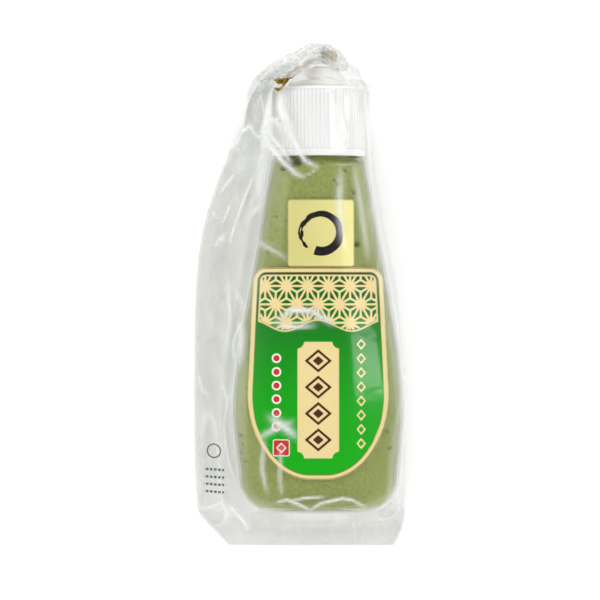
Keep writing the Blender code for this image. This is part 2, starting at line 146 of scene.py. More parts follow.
def loft_faces(ring_count, point_count, closed_path=False, fill_ends=True):
    """Quads through rings of points, with the first and last ring filled or joined."""
    faces = []
    for r in range(ring_count - (0 if closed_path else 1)):
        a = r * point_count
        b = ((r + 1) % ring_count) * point_count
        for i in range(point_count):
            j = (i + 1) % point_count
            faces.append((a + i, a + j, b + j, b + i))
    if fill_ends and not closed_path:
        last = (ring_count - 1) * point_count
        faces.append(tuple(reversed(range(point_count))))
        faces.append(tuple(range(last, last + point_count)))
    return faces


def face_outwards(piece):
    """Turn every face of a closed piece outwards."""
    bm = bmesh.new()
    bm.from_mesh(piece.data)
    bmesh.ops.recalc_face_normals(bm, faces=bm.faces)
    bm.to_mesh(piece.data)
    bm.free()


def store(piece, name, values):
    """Keep one number for each point of a piece, for its material to read."""
    layer = piece.data.attributes.new(name, "FLOAT", "POINT")
    layer.data.foreach_set("value", np.asarray(values, np.float32))


print("a tube of 3 rings of 4 points has", len(loft_faces(3, 4)), "faces")

# %% [markdown]
# ## Smooth curves through a few sizes
#
# A blown or a gathered shape is known by its size at a few places, and is smooth between them. A plain spline
# would swing past those sizes, so the curve here flattens at each highest and lowest one. The same kind of
# curve fades one thing into another.

# %% Curve helpers


def smooth_between(stations, where):
    """Columns of the stations at one or many places, on a curve that never overshoots them."""
    table = np.array(stations, dtype=float)
    at, values = table[:, 0], table[:, 1:]
    where = np.clip(np.atleast_1d(where).astype(float), at[0], at[-1])
    slopes = np.diff(values, axis=0) / np.diff(at)[:, None]
    inner = np.where(slopes[:-1] * slopes[1:] > 0, (slopes[:-1] + slopes[1:]) / 2, 0.0)
    limit = 3 * np.minimum(np.abs(slopes[:-1]), np.abs(slopes[1:]))
    inner = np.clip(inner, -limit, limit)
    tangents = np.vstack([slopes[:1], inner, slopes[-1:]])
    i = np.clip(np.searchsorted(at, where, side="right") - 1, 0, len(at) - 2)
    step = (at[i + 1] - at[i])[:, None]
    t = (where - at[i])[:, None] / step
    return (
        (1 + 2 * t) * (1 - t) ** 2 * values[i]
        + t * (1 - t) ** 2 * step * tangents[i]
        + t * t * (3 - 2 * t) * values[i + 1]
        + t * t * (t - 1) * step * tangents[i + 1]
    )


def ease(low, high, value):
    """0 at low, 1 at high, smooth between; low may be the larger of the two."""
    t = np.clip((np.asarray(value, float) - low) / (high - low), 0.0, 1.0)
    return t * t * (3 - 2 * t)


print("a quarter of the way from 0 to 1 eases to", round(float(ease(0.0, 1.0, 0.25)), 3))

# %% [markdown]
# ## Camera
#
# The object is seen from straight above, with its caps at the top. A long lens from far away keeps the
# tall bottle and the flat film at nearly the same scale.

# %% Camera
VIEW_WIDTH = 240.0
VIEW_DISTANCE = 1600.0
VIEW_CENTRE = (0.0, -1.6)
BOTTLE_AXIS_HEIGHT = 22.6
SENSOR = 36.0

lens_data = bpy.data.cameras.new("overhead camera")
lens_data.sensor_width = SENSOR
lens_data.lens = SENSOR * (VIEW_DISTANCE - BOTTLE_AXIS_HEIGHT) / VIEW_WIDTH
lens_data.clip_end = 10.0
camera = bpy.data.objects.new("overhead camera", lens_data)
camera.location = (VIEW_CENTRE[0] * MM, VIEW_CENTRE[1] * MM, VIEW_DISTANCE * MM)
bpy.context.scene.collection.objects.link(camera)
bpy.context.scene.camera = camera
print("lens in mm:", round(lens_data.lens, 1))

# %% [markdown]
# ## Floor and light
#
# A white surface under a bright even sky gives the clean pale ground. Two long soft lamps stand to the left
# and the right of the object, as in a product studio's light tent. Clear film shows up mostly by what it
# mirrors, so these lamps draw the bright lines on its folds.

# %% Floor and light
FLOOR_HALF = 1500.0
FLOOR_GAP = 0.1


def make_floor():
    """A plain white painted board."""
    paint, tree, out = new_material("matt white board")
    shader = add_node(tree, "ShaderNodeBsdfPrincipled", {"Base Color": linear("fafafa"), "Roughness": 0.9})
    tree.links.new(shader.outputs[0], out.inputs[0])
    mesh = bpy.data.meshes.new("floor")
    corners = [(-FLOOR_HALF, -FLOOR_HALF), (FLOOR_HALF, -FLOOR_HALF), (FLOOR_HALF, FLOOR_HALF),
               (-FLOOR_HALF, FLOOR_HALF)]
    height = cad_low.z - FLOOR_GAP * MM
    mesh.from_pydata([(x * MM, y * MM, height) for x, y in corners], [], [(0, 1, 2, 3)])
    mesh.materials.append(paint)
    floor = bpy.data.objects.new("floor", mesh)
    bpy.context.scene.collection.objects.link(floor)


def add_lamp(name, place, size, power):
    """A rectangular soft lamp at a place in millimetres, turned towards the object."""
    data = bpy.data.lights.new(name, "AREA")
    data.shape = "RECTANGLE"
    data.size, data.size_y = size[0] * MM, size[1] * MM
    data.energy = power
    lamp = bpy.data.objects.new(name, data)
    lamp.location = Vector(place) * MM
    lamp.rotation_euler = (-lamp.location).to_track_quat("-Z", "Y").to_euler()
    bpy.context.scene.collection.objects.link(lamp)


def make_sky(strength, mirrored):
    """An even white sky that shows more weakly in mirrors, as the dark camera side of a light tent does."""
    sky = bpy.data.worlds.new("even sky")
    sky.use_nodes = True
    tree = sky.node_tree
    mirror = add_node(tree, "ShaderNodeLightPath").outputs["Is Glossy Ray"]
    level = add_node(tree, "ShaderNodeMapRange", {"Value": mirror, "To Min": strength, "To Max": mirrored})
    tree.links.new(level.outputs[0], tree.nodes["Background"].inputs["Strength"])
    tree.nodes["Background"].inputs["Color"].default_value = (1.0, 1.0, 1.0, 1.0)
    bpy.context.scene.world = sky


make_floor()
make_sky(1.2, 0.1)
add_lamp("left lamp", (-1050.0, 300.0, 380.0), (160.0, 900.0), 0.7)
add_lamp("right lamp", (900.0, 60.0, 900.0), (140.0, 900.0), 1.7)
add_lamp("far lamp", (-250.0, 1150.0, 700.0), (700.0, 160.0), 2.4)
bpy.context.scene.view_settings.view_transform = "Standard"
bpy.context.scene.cycles.transparent_max_bounces = 32
bpy.context.scene.cycles.use_denoising = True

# %% [markdown]
# ## The bottle's own sizes
#
# The body is a blown plastic shell with a rounded oval section. Its half width and half depth are given at a
# few stations along it, and a smooth curve runs between them. A section with an exponent a little over 2 is
# flatter on the front than an ellipse, as such bottles are.

# %% Bottle sizes
AXIS_X = 7.2
AXIS_Z = BOTTLE_AXIS_HEIGHT
BASE_Y = -86.6
BODY_LENGTH = 141.6
BODY_STATIONS = [
    (0.0, 30.4, 19.6),
    (14.0, 31.4, 20.3),
    (42.0, 34.0, 21.0),
    (60.0, 32.4, 20.8),
    (100.0, 25.4, 19.4),
    (BODY_LENGTH, 18.3, 18.0),
]
BASE_CORNER = 13.0
BASE_CORNER_DEPTH = 0.75
SQUARENESS = 2.3
WALL = 1.0
NECK_RADIUS = 16.0
NECK_LENGTH = 26.0
SHOULDER_Y = BASE_Y + BODY_LENGTH


def body_halves(along, offset=0.0):
    """Half widths and half depths of the body at distances from its base."""
    along = np.atleast_1d(along).astype(float)
    width, depth = smooth_between(BODY_STATIONS, along).T
    drop = np.maximum(BASE_CORNER - along, 0.0)
    inset = BASE_CORNER - np.sqrt(BASE_CORNER ** 2 - drop ** 2)
    return width - inset + offset, depth - BASE_CORNER_DEPTH * inset + offset


def body_half(along, offset=0.0):
    """Half width and half depth of the body at one distance from its base."""
    width, depth = body_halves(along, offset)
    return float(width[0]), float(depth[0])


def oval_ring(width, depth, y, count, exponent=SQUARENESS):
    """One section across the bottle, as points in millimetres."""
    angles = np.linspace(0.0, TURN, count, endpoint=False)
    power = 2.0 / exponent
    x = AXIS_X + np.sign(np.cos(angles)) * np.abs(np.cos(angles)) ** power * width
    z = AXIS_Z + np.sign(np.sin(angles)) * np.abs(np.sin(angles)) ** power * depth
    return np.stack([x, np.full(count, float(y)), z], axis=1)


def body_steps(first, last, count):
    """Distances from the base, close together round its corner and even after it."""
    corner = BASE_CORNER * (1 - np.cos(np.linspace(0.0, math.pi / 2, 16)))
    straight = np.linspace(BASE_CORNER, last, count)[1:]
    steps = np.concatenate([corner, straight])
    return steps[(steps >= first) & (steps <= last)]


bottle_low, bottle_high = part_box("bottle")
print("bottle box in mm:", [round(v / MM, 1) for v in bottle_low], [round(v / MM, 1) for v in bottle_high])

# %% [markdown]
# ## Bottle plastic
#
# The bottle is blown from soft polyethylene. It is clear enough to show the paste, but milky, so it greys and
# lightens what is behind it. That is a weak white scatter over a see-through surface, with a soft gloss on
# top. The moulded skin is slightly uneven, which breaks up the gloss.

# %% Bottle material


def make_bottle_plastic():
    """Blown low-density polyethylene: see-through, a little milky, softly glossy."""
    made, tree, out = new_material("blown polyethylene")
    place = add_node(tree, "ShaderNodeTexCoord")
    # The mould leaves waves about 18 mm apart in the skin, too shallow to see but for their gloss
    ripple = add_node(tree, "ShaderNodeTexNoise", {
        "Vector": place.outputs["Object"], "Scale": 1 / (18 * MM), "Detail": 2.0})
    skin = add_node(tree, "ShaderNodeBump", {
        "Height": ripple.outputs[0], "Strength": 0.15, "Distance": 0.6 * MM})
    clear = add_node(tree, "ShaderNodeBsdfTransparent", {"Color": linear("f2f4e6")})
    milk = add_node(tree, "ShaderNodeBsdfPrincipled", {
        "Base Color": linear("a8b27a"), "Roughness": 0.34, "IOR": 1.51, "Normal": skin.outputs[0]})
    edge = add_node(tree, "ShaderNodeLayerWeight", {"Blend": 0.5, "Normal": skin.outputs[0]})
    steep = add_node(tree, "ShaderNodeMath", {0: edge.outputs["Facing"], 1: 2.5}, operation="POWER")
    amount = add_node(tree, "ShaderNodeMapRange", {"Value": steep.outputs[0], "To Min": 0.04, "To Max": 0.24})
    mixed = add_node(tree, "ShaderNodeMixShader", {
        0: amount.outputs[0], 1: clear.outputs[0], 2: milk.outputs[0]})
    tree.links.new(mixed.outputs[0], out.inputs[0])
    return made


bottle_plastic = make_bottle_plastic()
print("material:", bottle_plastic.name)

# %% [markdown]
# ## Bottle
#
# A blown bottle is one skin with a wall of nearly even thickness. Rings of points run from the middle of its
# dished base, up the body, over the shoulder and the threaded neck, and back down inside to the base again.
# Quads between them make one closed shell. The thread is a wave on the neck that climbs as it goes round.

# %% Bottle rings
BOTTLE_SIDES = 160
THREAD_HEIGHT = 0.8
THREAD_PITCH = 4.0
THREAD_START = (5.0, 7.0)
THREAD_END = (15.0, 17.0)
# The base from its middle to its foot: share of the base's size, and how far it is dished in, in mm
BASE_DISH = [(0.05, 1.3), (0.3, 1.2), (0.6, 1.15), (0.75, 0.9), (0.86, 0.25), (0.93, 0.0)]
# The shoulder as half width, half depth and height over SHOULDER_Y, in mm
SHOULDER_ROUND = [(17.9, 17.7, -0.5), (17.3, 17.2, -0.1), (16.7, 16.7, 0.0), (16.2, 16.2, 0.25),
                  (NECK_RADIUS, NECK_RADIUS, 0.8)]
# The mouth's lip and the neck's bore as radius and height over SHOULDER_Y, in mm
MOUTH_LIP = [(NECK_RADIUS, NECK_LENGTH - 0.3), (15.7, NECK_LENGTH), (15.0, NECK_LENGTH),
             (14.8, NECK_LENGTH - 0.3), (14.8, 0.0)]
INNER_BASE = 1.9
INNER_DISH = [(0.9, 2.1), (0.6, 2.5), (0.05, 2.6)]


def body_rings(steps, offset, sides):
    """Sections of the body at distances from its base, a given offset outside it."""
    return [oval_ring(width, depth, BASE_Y + step, sides)
            for step, width, depth in zip(steps, *body_halves(steps, offset))]


def dish_rings(along, offset, dish, sides):
    """Sections of a dished base, as shares of the body's section at one distance from it."""
    width, depth = body_half(along, offset)
    return [oval_ring(width * share, depth * share, BASE_Y + lift, sides) for share, lift in dish]


def thread_rings():
    """The neck with a helical thread that fades in and out."""
    angles = np.linspace(0.0, TURN, BOTTLE_SIDES, endpoint=False)
    rings = []
    for above in np.arange(4.0, 19.0, 0.4):
        height = THREAD_HEIGHT * ease(*THREAD_START, above) * (1 - ease(*THREAD_END, above))
        ridge = (0.5 + 0.5 * np.cos(TURN * above / THREAD_PITCH - angles)) ** 2
        reach = NECK_RADIUS + height * ridge
        rings.append(np.stack([AXIS_X + reach * np.cos(angles), np.full(BOTTLE_SIDES, SHOULDER_Y + above),
                               AXIS_Z + reach * np.sin(angles)], axis=1))
    return rings


def make_bottle():
    """Base, body, shoulder, neck and thread outside, then the inner wall back down to the base."""
    rings = dish_rings(0.0, 0.0, BASE_DISH, BOTTLE_SIDES)
    rings += body_rings(body_steps(0.0, BODY_LENGTH - 1.2, 60), 0.0, BOTTLE_SIDES)
    for width, depth, rise in SHOULDER_ROUND:
        rings.append(oval_ring(width, depth, SHOULDER_Y + rise, BOTTLE_SIDES, 2.0))
    rings += thread_rings()
    for radius, above in MOUTH_LIP:
        rings.append(oval_ring(radius, radius, SHOULDER_Y + above, BOTTLE_SIDES, 2.0))
    rings += body_rings(body_steps(INNER_BASE, BODY_LENGTH - 2.0, 30)[::-1], -WALL, BOTTLE_SIDES)
    rings += dish_rings(INNER_BASE, -WALL - 1.0, INNER_DISH, BOTTLE_SIDES)
    faces = loft_faces(len(rings), BOTTLE_SIDES)
    points = np.concatenate(rings)
    face_outwards(make_piece("blown_bottle", points, faces, bottle_plastic, ["bottle"]))


make_bottle()

# %% [markdown]
# ## Paste
#
# Grated wasabi is a thick moist paste with fine fibres. Pressed against the wall it looks evenly green from a
# step away, and close to it is mottled, with paler specks of fibre and small pockets where air was trapped.
# The pockets lie in shade and look dark; that shade is painted into the paste's colour. They gather near the
# shoulder, because the bottle stands on its cap in the fridge door and is filled from that end. The surface
# dips a little in each pocket.

# %% Paste material


def make_paste_material():
    """Grated wasabi: mottled moist green with pale fibre specks, and painted shade in its air pockets."""
    made, tree, out = new_material("grated wasabi")
    place = add_node(tree, "ShaderNodeTexCoord").outputs["Object"]
    cloud = add_node(tree, "ShaderNodeTexNoise", {"Vector": place, "Scale": 1 / (22 * MM), "Detail": 3.0})
    ground = add_node(tree, "ShaderNodeMix", {0: cloud.outputs[0], 6: linear("a7ae73"), 7: linear("c8ce99")},
                      data_type="RGBA")
    # A shark-skin grater leaves grains of about 0.3 mm; they are drawn at 1.1 mm so that they show
    grain = add_node(tree, "ShaderNodeTexNoise", {
        "Vector": place, "Scale": 1 / (1.1 * MM), "Detail": 3.0, "Roughness": 0.7})
    speck = add_node(tree, "ShaderNodeMapRange", {
        "Value": grain.outputs[0], "From Min": 0.48, "From Max": 0.62, "To Max": 0.4})
    pit = add_node(tree, "ShaderNodeMapRange", {
        "Value": grain.outputs[0], "From Min": 0.5, "From Max": 0.36, "To Max": 0.34})
    pocket_shade = add_node(tree, "ShaderNodeAttribute", attribute_name="pocket_shade")
    colour = layered(tree, ground.outputs[2], [
        (speck.outputs[0], linear("ccd2a4")),
        (pit.outputs[0], linear("7a8453")),
        # Painted shade: the colour is darkened in each air pocket, where the hollow lies in shade
        (pocket_shade.outputs["Fac"], linear("434d28")),
    ])
    relief = add_node(tree, "ShaderNodeBump", {
        "Height": grain.outputs[0], "Strength": 0.25, "Distance": 0.4 * MM})
    shader = add_node(tree, "ShaderNodeBsdfPrincipled", {
        "Base Color": colour, "Roughness": 0.5, "Normal": relief.outputs[0]})
    tree.links.new(shader.outputs[0], out.inputs[0])
    return made


paste_material = make_paste_material()
print("material:", paste_material.name)

# %% [markdown]
# ## Filling
#
# The paste is a solid that fills the bottle and part of its neck, with a hair of air between it and the wall
# so that the two skins never share a place. Its points are pushed in where an air pocket is. How deep each
# point lies in a pocket is stored, so that the material can paint shade into it.

# %% Filling
PASTE_SIDES = 240
PASTE_GAP = WALL + 0.3
PASTE_BASE = 2.6
PASTE_DISH = [(0.05, 2.9), (0.5, 2.85), (0.85, 2.7)]
# The paste in the neck, as radius and height over SHOULDER_Y, in mm, with a rounded end
PASTE_NECK = [(15.4, -1.2), (14.4, -0.2), (14.3, 7.0), (13.0, 8.2), (6.0, 8.8), (0.7, 9.0)]
POCKET_DEPTH = 0.7

# Air pockets: distance right of the axis, distance from the base, radius, all in mm, on the front
AIR_POCKETS = [
    (-11.5, 138.6, 2.6), (-8.2, 139.4, 2.0), (-14.0, 137.2, 1.5), (-5.0, 139.8, 1.3), (1.5, 139.6, 0.9),
    (8.0, 130.8, 1.1), (6.2, 132.3, 0.8), (14.5, 127.6, 1.2), (10.8, 136.2, 0.9), (15.2, 107.0, 1.7),
    (-30.5, 24.0, 0.9), (-31.0, 31.0, 1.2), (-30.0, 27.5, 0.7), (-29.0, 20.5, 0.8), (27.5, 33.0, 0.8),
    (28.5, 26.0, 1.0), (-16.5, 118.0, 0.7), (-20.0, 104.0, 0.8), (18.5, 96.0, 0.7),
]


def pocket_depths(points):
    """How deep each point lies in an air pocket, from 0 to 1; wider pockets are deeper."""
    depths = np.zeros(len(points))
    front = points[:, 2] > AXIS_Z
    for across, along, radius in AIR_POCKETS:
        away = np.hypot(points[:, 0] - AXIS_X - across, (points[:, 1] - BASE_Y - along) * 1.2)
        strength = min(0.35 + 0.3 * radius, 1.0)
        depths = np.maximum(depths, strength * (1 - ease(0.5 * radius, 1.1 * radius, away)) * front)
    return depths


def make_paste():
    """The filling inside the wall, dented at its air pockets, with its level in the neck."""
    rings = dish_rings(PASTE_BASE, -PASTE_GAP - 0.8, PASTE_DISH, PASTE_SIDES)
    rings += body_rings(body_steps(PASTE_BASE, BODY_LENGTH - 2.5, 200), -PASTE_GAP, PASTE_SIDES)
    for radius, above in PASTE_NECK:
        rings.append(oval_ring(radius, radius, SHOULDER_Y + above, PASTE_SIDES, 2.0))
    points = np.concatenate(rings)
    depths = pocket_depths(points)
    inwards = np.stack([AXIS_X - points[:, 0], np.zeros(len(points)), AXIS_Z - points[:, 2]], axis=1)
    inwards /= np.maximum(np.linalg.norm(inwards, axis=1), 1e-6)[:, None]
    points += inwards * depths[:, None] * POCKET_DEPTH
    faces = loft_faces(len(rings), PASTE_SIDES)
    piece = make_piece("wasabi_paste", points, faces, paste_material, ["paste"])
    face_outwards(piece)
    store(piece, "pocket_shade", depths)


make_paste()

# %% [markdown]
# ## Caps
#
# Both caps are moulded white polypropylene. The screw cap is a body of revolution with a smooth rim at its
# foot and a flat top, so one profile is turned about the bottle's axis. Its bore is part of the same profile.
# The small cap over the spout is a plain tapered cup with a rounded edge, a shade greyer because its plastic
# is thinner.

# %% Cap plastic and turned shapes
SHARP_EDGE = math.radians(50)


def make_cap_plastic(name, colour):
    """Moulded white polypropylene: satin, with a faint moulded grain and gloss that varies a little."""
    made, tree, out = new_material(name)
    place = add_node(tree, "ShaderNodeTexCoord").outputs["Object"]
    # A spark-eroded mould leaves a grain of about 0.1 mm, drawn at 0.5 mm; the gloss drifts over 14 mm
    grain = add_node(tree, "ShaderNodeTexNoise", {"Vector": place, "Scale": 1 / (0.5 * MM), "Detail": 2.0})
    cloud = add_node(tree, "ShaderNodeTexNoise", {"Vector": place, "Scale": 1 / (14 * MM), "Detail": 2.0})
    gloss = add_node(tree, "ShaderNodeMapRange", {"Value": cloud.outputs[0], "To Min": 0.28, "To Max": 0.42})
    relief = add_node(tree, "ShaderNodeBump", {
        "Height": grain.outputs[0], "Strength": 0.12, "Distance": 0.1 * MM})
    shader = add_node(tree, "ShaderNodeBsdfPrincipled", {
        "Base Color": linear(colour), "Roughness": gloss.outputs[0], "IOR": 1.49,
        "Normal": relief.outputs[0]})
    tree.links.new(shader.outputs[0], out.inputs[0])
    return made


def turned(name, profile, sides, material, stands_for, closed_path):
    """A body of revolution about the bottle's axis, from (y, radius) pairs in millimetres."""
    rings = [oval_ring(radius, radius, y, sides, 2.0) for y, radius in profile]
    faces = loft_faces(len(rings), sides, closed_path)
    piece = make_piece(name, np.concatenate(rings), faces, material, stands_for)
    face_outwards(piece)
    piece.data.set_sharp_from_angle(angle=SHARP_EDGE)


def rounded(y_corner, radius_corner, size, start, end, steps=5):
    """Points on a quarter round of a profile, from one direction in degrees to another."""
    points = []
    for angle in np.linspace(math.radians(start), math.radians(end), steps):
        points.append((y_corner + size * math.sin(angle), radius_corner + size * math.cos(angle)))
    return points


cap_plastic = make_cap_plastic("moulded polypropylene", "eeeeed")
top_cap_plastic = make_cap_plastic("thin moulded polypropylene", "e9e9e4")
print("materials:", cap_plastic.name, "and", top_cap_plastic.name)

# %% Screw cap and spout cap
CAP_FOOT_Y = SHOULDER_Y + 0.6
CAP_TOP_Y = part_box("top_cap")[0].y / MM - 0.3
RIM_RADIUS = 18.9
SKIRT_FOOT = 18.35
SKIRT_TOP = 18.05
RIM_HEIGHT = 2.8
RIM_EDGE = 0.4
TOP_EDGE = 1.1
CAP_BORE = 17.1
CAP_TOP_THICK = 1.4
SPOUT_HEIGHT = 5.4
SPOUT_BORE = 1.5
CUP_FOOT = 11.3
CUP_TIP = 7.4
CUP_EDGE = 1.5


def make_screw_cap():
    """Rim, skirt core, rounded top edge, raised ring and spout; the bore runs through the spout."""
    ceiling = CAP_TOP_Y - CAP_TOP_THICK
    tip = CAP_TOP_Y + SPOUT_HEIGHT
    profile = rounded(CAP_FOOT_Y + RIM_EDGE, RIM_RADIUS - RIM_EDGE, RIM_EDGE, -90, 0)
    profile += rounded(CAP_FOOT_Y + RIM_HEIGHT - RIM_EDGE, RIM_RADIUS - RIM_EDGE, RIM_EDGE, 0, 80)
    profile += [(CAP_FOOT_Y + RIM_HEIGHT + 0.1, SKIRT_FOOT), (CAP_TOP_Y - 1.2, SKIRT_TOP)]
    profile += rounded(CAP_TOP_Y - TOP_EDGE, SKIRT_TOP - 1.0, TOP_EDGE, 0, 90)
    profile += [(CAP_TOP_Y, 10.1)] + rounded(CAP_TOP_Y + 1.1, 9.5, 0.3, 0, 90, 3)
    profile += [(CAP_TOP_Y + 1.4, 4.6), (tip - 0.2, 3.0), (tip, 2.6), (tip, SPOUT_BORE)]
    profile += [(ceiling, SPOUT_BORE), (ceiling, CAP_BORE), (CAP_FOOT_Y, CAP_BORE)]
    turned("screw_cap_body", profile, 144, cap_plastic, ["screw_cap"], True)


def make_top_cap():
    """A tapered cup with a rounded end, open towards the screw cap."""
    foot = CAP_TOP_Y + 0.3
    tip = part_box("top_cap")[1].y / MM
    profile = [(tip, 0.2), (tip, 5.5)] + rounded(tip - CUP_EDGE, CUP_TIP, CUP_EDGE, 90, 8, 8)
    profile += rounded(foot + 0.5, CUP_FOOT, 0.5, 0, -90)
    profile += [(foot, 10.8), (foot + 0.6, 10.6), (tip - 1.6, 7.8), (tip - 1.1, 6.9), (tip - 1.1, 0.2)]
    turned("spout_cap", profile, 128, top_cap_plastic, ["top_cap"], False)


make_screw_cap()
make_top_cap()

# %% [markdown]
# ## Flutes
#
# The skirt's fine upright flutes give wet fingers a grip. They could be cut with a modifier, but 72 equal
# bars are a rule and not a drawing, so a small node tree makes them. It draws one bar from the skirt's foot
# to its top, sets copies of it round the axis, makes them real and gives them their plastic. Its sizes are
# inputs, so another cap needs only other numbers.

# %% Flutes by Geometry Nodes
FLUTE_COUNT = 72
FLUTE_RADIUS = 0.56
FLUTE_SUNK = 0.12
SHARP_FLUTE = math.radians(60)


def flute_tree(material):
    """One tapered bar, copied round the Z axis: radii, height, count and thickness are inputs."""
    tree = bpy.data.node_groups.new("flutes round a skirt", "GeometryNodeTree")
    face = tree.interface
    face.new_socket("Geometry", in_out="OUTPUT", socket_type="NodeSocketGeometry")
    for name, kind in (("Foot Radius", "NodeSocketFloat"), ("Top Radius", "NodeSocketFloat"),
                       ("Height", "NodeSocketFloat"), ("Thickness", "NodeSocketFloat"),
                       ("Count", "NodeSocketInt")):
        face.new_socket(name, in_out="INPUT", socket_type=kind)
    given = add_node(tree, "NodeGroupInput").outputs
    foot = add_node(tree, "ShaderNodeCombineXYZ", {"X": given["Foot Radius"]})
    top = add_node(tree, "ShaderNodeCombineXYZ", {"X": given["Top Radius"], "Z": given["Height"]})
    line = add_node(tree, "GeometryNodeCurvePrimitiveLine", {"Start": foot.outputs[0], "End": top.outputs[0]})
    section = add_node(tree, "GeometryNodeCurvePrimitiveCircle", {
        "Resolution": 10, "Radius": given["Thickness"]})
    bar = add_node(tree, "GeometryNodeCurveToMesh", {
        "Curve": line.outputs[0], "Profile Curve": section.outputs[0], "Fill Caps": True})
    points = add_node(tree, "GeometryNodePoints", {"Count": given["Count"]})
    index = add_node(tree, "GeometryNodeInputIndex")
    share = add_node(tree, "ShaderNodeMath", {0: index.outputs[0], 1: given["Count"]}, operation="DIVIDE")
    angle = add_node(tree, "ShaderNodeMath", {0: share.outputs[0], 1: TURN}, operation="MULTIPLY")
    turn = add_node(tree, "ShaderNodeCombineXYZ", {"Z": angle.outputs[0]})
    copies = add_node(tree, "GeometryNodeInstanceOnPoints", {
        "Points": points.outputs[0], "Instance": bar.outputs[0], "Rotation": turn.outputs[0]})
    real = add_node(tree, "GeometryNodeRealizeInstances", {0: copies.outputs[0]})
    finish = add_node(tree, "GeometryNodeSetMaterial", {"Geometry": real.outputs[0], "Material": material})
    add_node(tree, "NodeGroupOutput", {0: finish.outputs[0]})
    return tree


def from_tree(name, tree, sizes, matrix):
    """Evaluate a tree with the given input values, and keep the result as a plain mesh in its place."""
    holder = bpy.data.objects.new(name + " source", bpy.data.meshes.new(name + " source"))
    bpy.context.scene.collection.objects.link(holder)
    modifier = holder.modifiers.new("tree", "NODES")
    modifier.node_group = tree
    sockets = {s.name: s.identifier for s in tree.interface.items_tree if s.in_out == "INPUT"}
    for key, value in sizes.items():
        modifier[sockets[key]] = value
    bpy.context.view_layer.update()
    evaluated = holder.evaluated_get(bpy.context.evaluated_depsgraph_get())
    mesh = bpy.data.meshes.new_from_object(evaluated)
    bpy.data.objects.remove(holder)
    mesh.name = name
    mesh.transform(matrix)
    mesh.shade_smooth()
    mesh.set_sharp_from_angle(angle=SHARP_FLUTE)
    piece = bpy.data.objects.new(name, mesh)
    bpy.context.scene.collection.objects.link(piece)
    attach(piece, "root")
    print(f"{name}: {len(mesh.vertices)} points, {len(mesh.polygons)} faces")


flute_foot = CAP_FOOT_Y + RIM_HEIGHT + 0.2
flute_height = CAP_TOP_Y - 1.6 - flute_foot
flute_place = Matrix.Translation(Vector((AXIS_X, flute_foot, AXIS_Z)) * MM)
upright = flute_place @ Matrix.Rotation(-math.pi / 2, 4, "X")
flute_sizes = {
    "Foot Radius": (SKIRT_FOOT - FLUTE_SUNK) * MM,
    "Top Radius": (SKIRT_TOP - FLUTE_SUNK) * MM,
    "Height": flute_height * MM,
    "Thickness": FLUTE_RADIUS * MM,
    "Count": FLUTE_COUNT,
}
from_tree("cap_flutes", flute_tree(cap_plastic), flute_sizes, upright)

# %% [markdown]
# ## Labels
#
# Each label is a thin printed film that follows the bottle. A fine grid is laid on the body's own surface, a
# little way off it, so that it bends exactly as the plastic does. The print is worked out from distances: for
# each point of the grid, how far it lies inside a printed shape, in millimetres. The shader then cuts those
# distances at zero, which gives edges far sharper than the grid.
#
# The designs are plain traditional ones. The gold square has a brushed ink circle. The green label has a
# hemp-leaf pattern over its head, and a cream plaque with lozenges, with small dots and squares beside it.

# %% Label shapes
LABEL_OFF = 0.32
LABEL_THICK = 0.2
LABEL_COLUMNS = 110


def surface_height(across, along, offset, sign=1.0):
    """Height of the body's front or back at a place, a given offset outside it."""
    width, depth = body_halves(along, offset)
    rise = depth * np.maximum(1 - np.abs(across / width) ** SQUARENESS, 0.0) ** (1 / SQUARENESS)
    return AXIS_Z + sign * rise


def label_piece(name, alongs, half_widths, columns, material, stands_for, sign=1.0, aside=0.0):
    """A closed thin sheet on the body; returns it with each point's place across and along."""
    share = np.linspace(-1.0, 1.0, columns + 1)
    across = aside + half_widths[:, None] * share[None, :]
    along = np.repeat(alongs[:, None], columns + 1, axis=1)
    sheets = []
    for offset in (LABEL_OFF + LABEL_THICK, LABEL_OFF):
        z = surface_height(across.ravel(), along.ravel(), offset, sign)
        sheets.append(np.stack([AXIS_X + across.ravel(), BASE_Y + along.ravel(), z], axis=1))
    rows, row = len(alongs), columns + 1
    under = rows * row
    faces = []
    for r in range(rows - 1):
        for c in range(columns):
            a = r * row + c
            faces.append((a, a + 1, a + row + 1, a + row))
            faces.append((under + a, under + a + row, under + a + row + 1, under + a + 1))
    rim = list(range(row)) + [r * row + columns for r in range(1, rows)]
    rim += [(rows - 1) * row + c for c in range(columns - 1, -1, -1)]
    rim += [r * row for r in range(rows - 2, 0, -1)]
    for a, b in zip(rim, rim[1:] + rim[:1]):
        faces.append((b, a, under + a, under + b))
    points = np.concatenate(sheets)
    piece = make_piece(name, points, faces, material, stands_for)
    face_outwards(piece)
    return piece, np.tile(across.ravel() - aside, 2), np.tile(along.ravel(), 2)


def end_rounding(alongs, start, end, full, corner_start, corner_end, across_start=None):
    """Half widths of a label whose ends are rounded by quarter ellipses."""
    half = np.array(full, float) * np.ones(len(alongs))
    for distance, corner, across in ((alongs - start, corner_start, across_start or corner_start),
                                     (end - alongs, corner_end, corner_end)):
        left = np.clip(1 - distance / corner, 0.0, 1.0)
        half -= across * (1 - np.sqrt(1 - left * left))
    return half


def spaced_ends(start, end, corner_start, corner_end, step):
    """Rows along a label, no further apart than a step and closer in its rounded ends."""
    rounds = []
    for corner in (corner_start, corner_end):
        turns = np.linspace(0.0, math.pi / 2, 10 + int(corner * 1.5 / step))
        rounds.append(corner * (1 - np.cos(turns)))
    first, last = start + rounds[0], end - rounds[1]
    middle = np.linspace(first[-1], last[-1], 2 + int((last[-1] - first[-1]) / step))[1:-1]
    return np.concatenate([first, middle, last[::-1]])


print("the gloss side of a label is", LABEL_OFF + LABEL_THICK, "mm off the bottle")

# %% [markdown]
# ## Print from distances
#
# Each printed shape is a small formula for the distance inside it. A union is the larger of two distances and
# an intersection the smaller, as with cut paper shapes.

# %% Distance formulas
FAR = 1e3


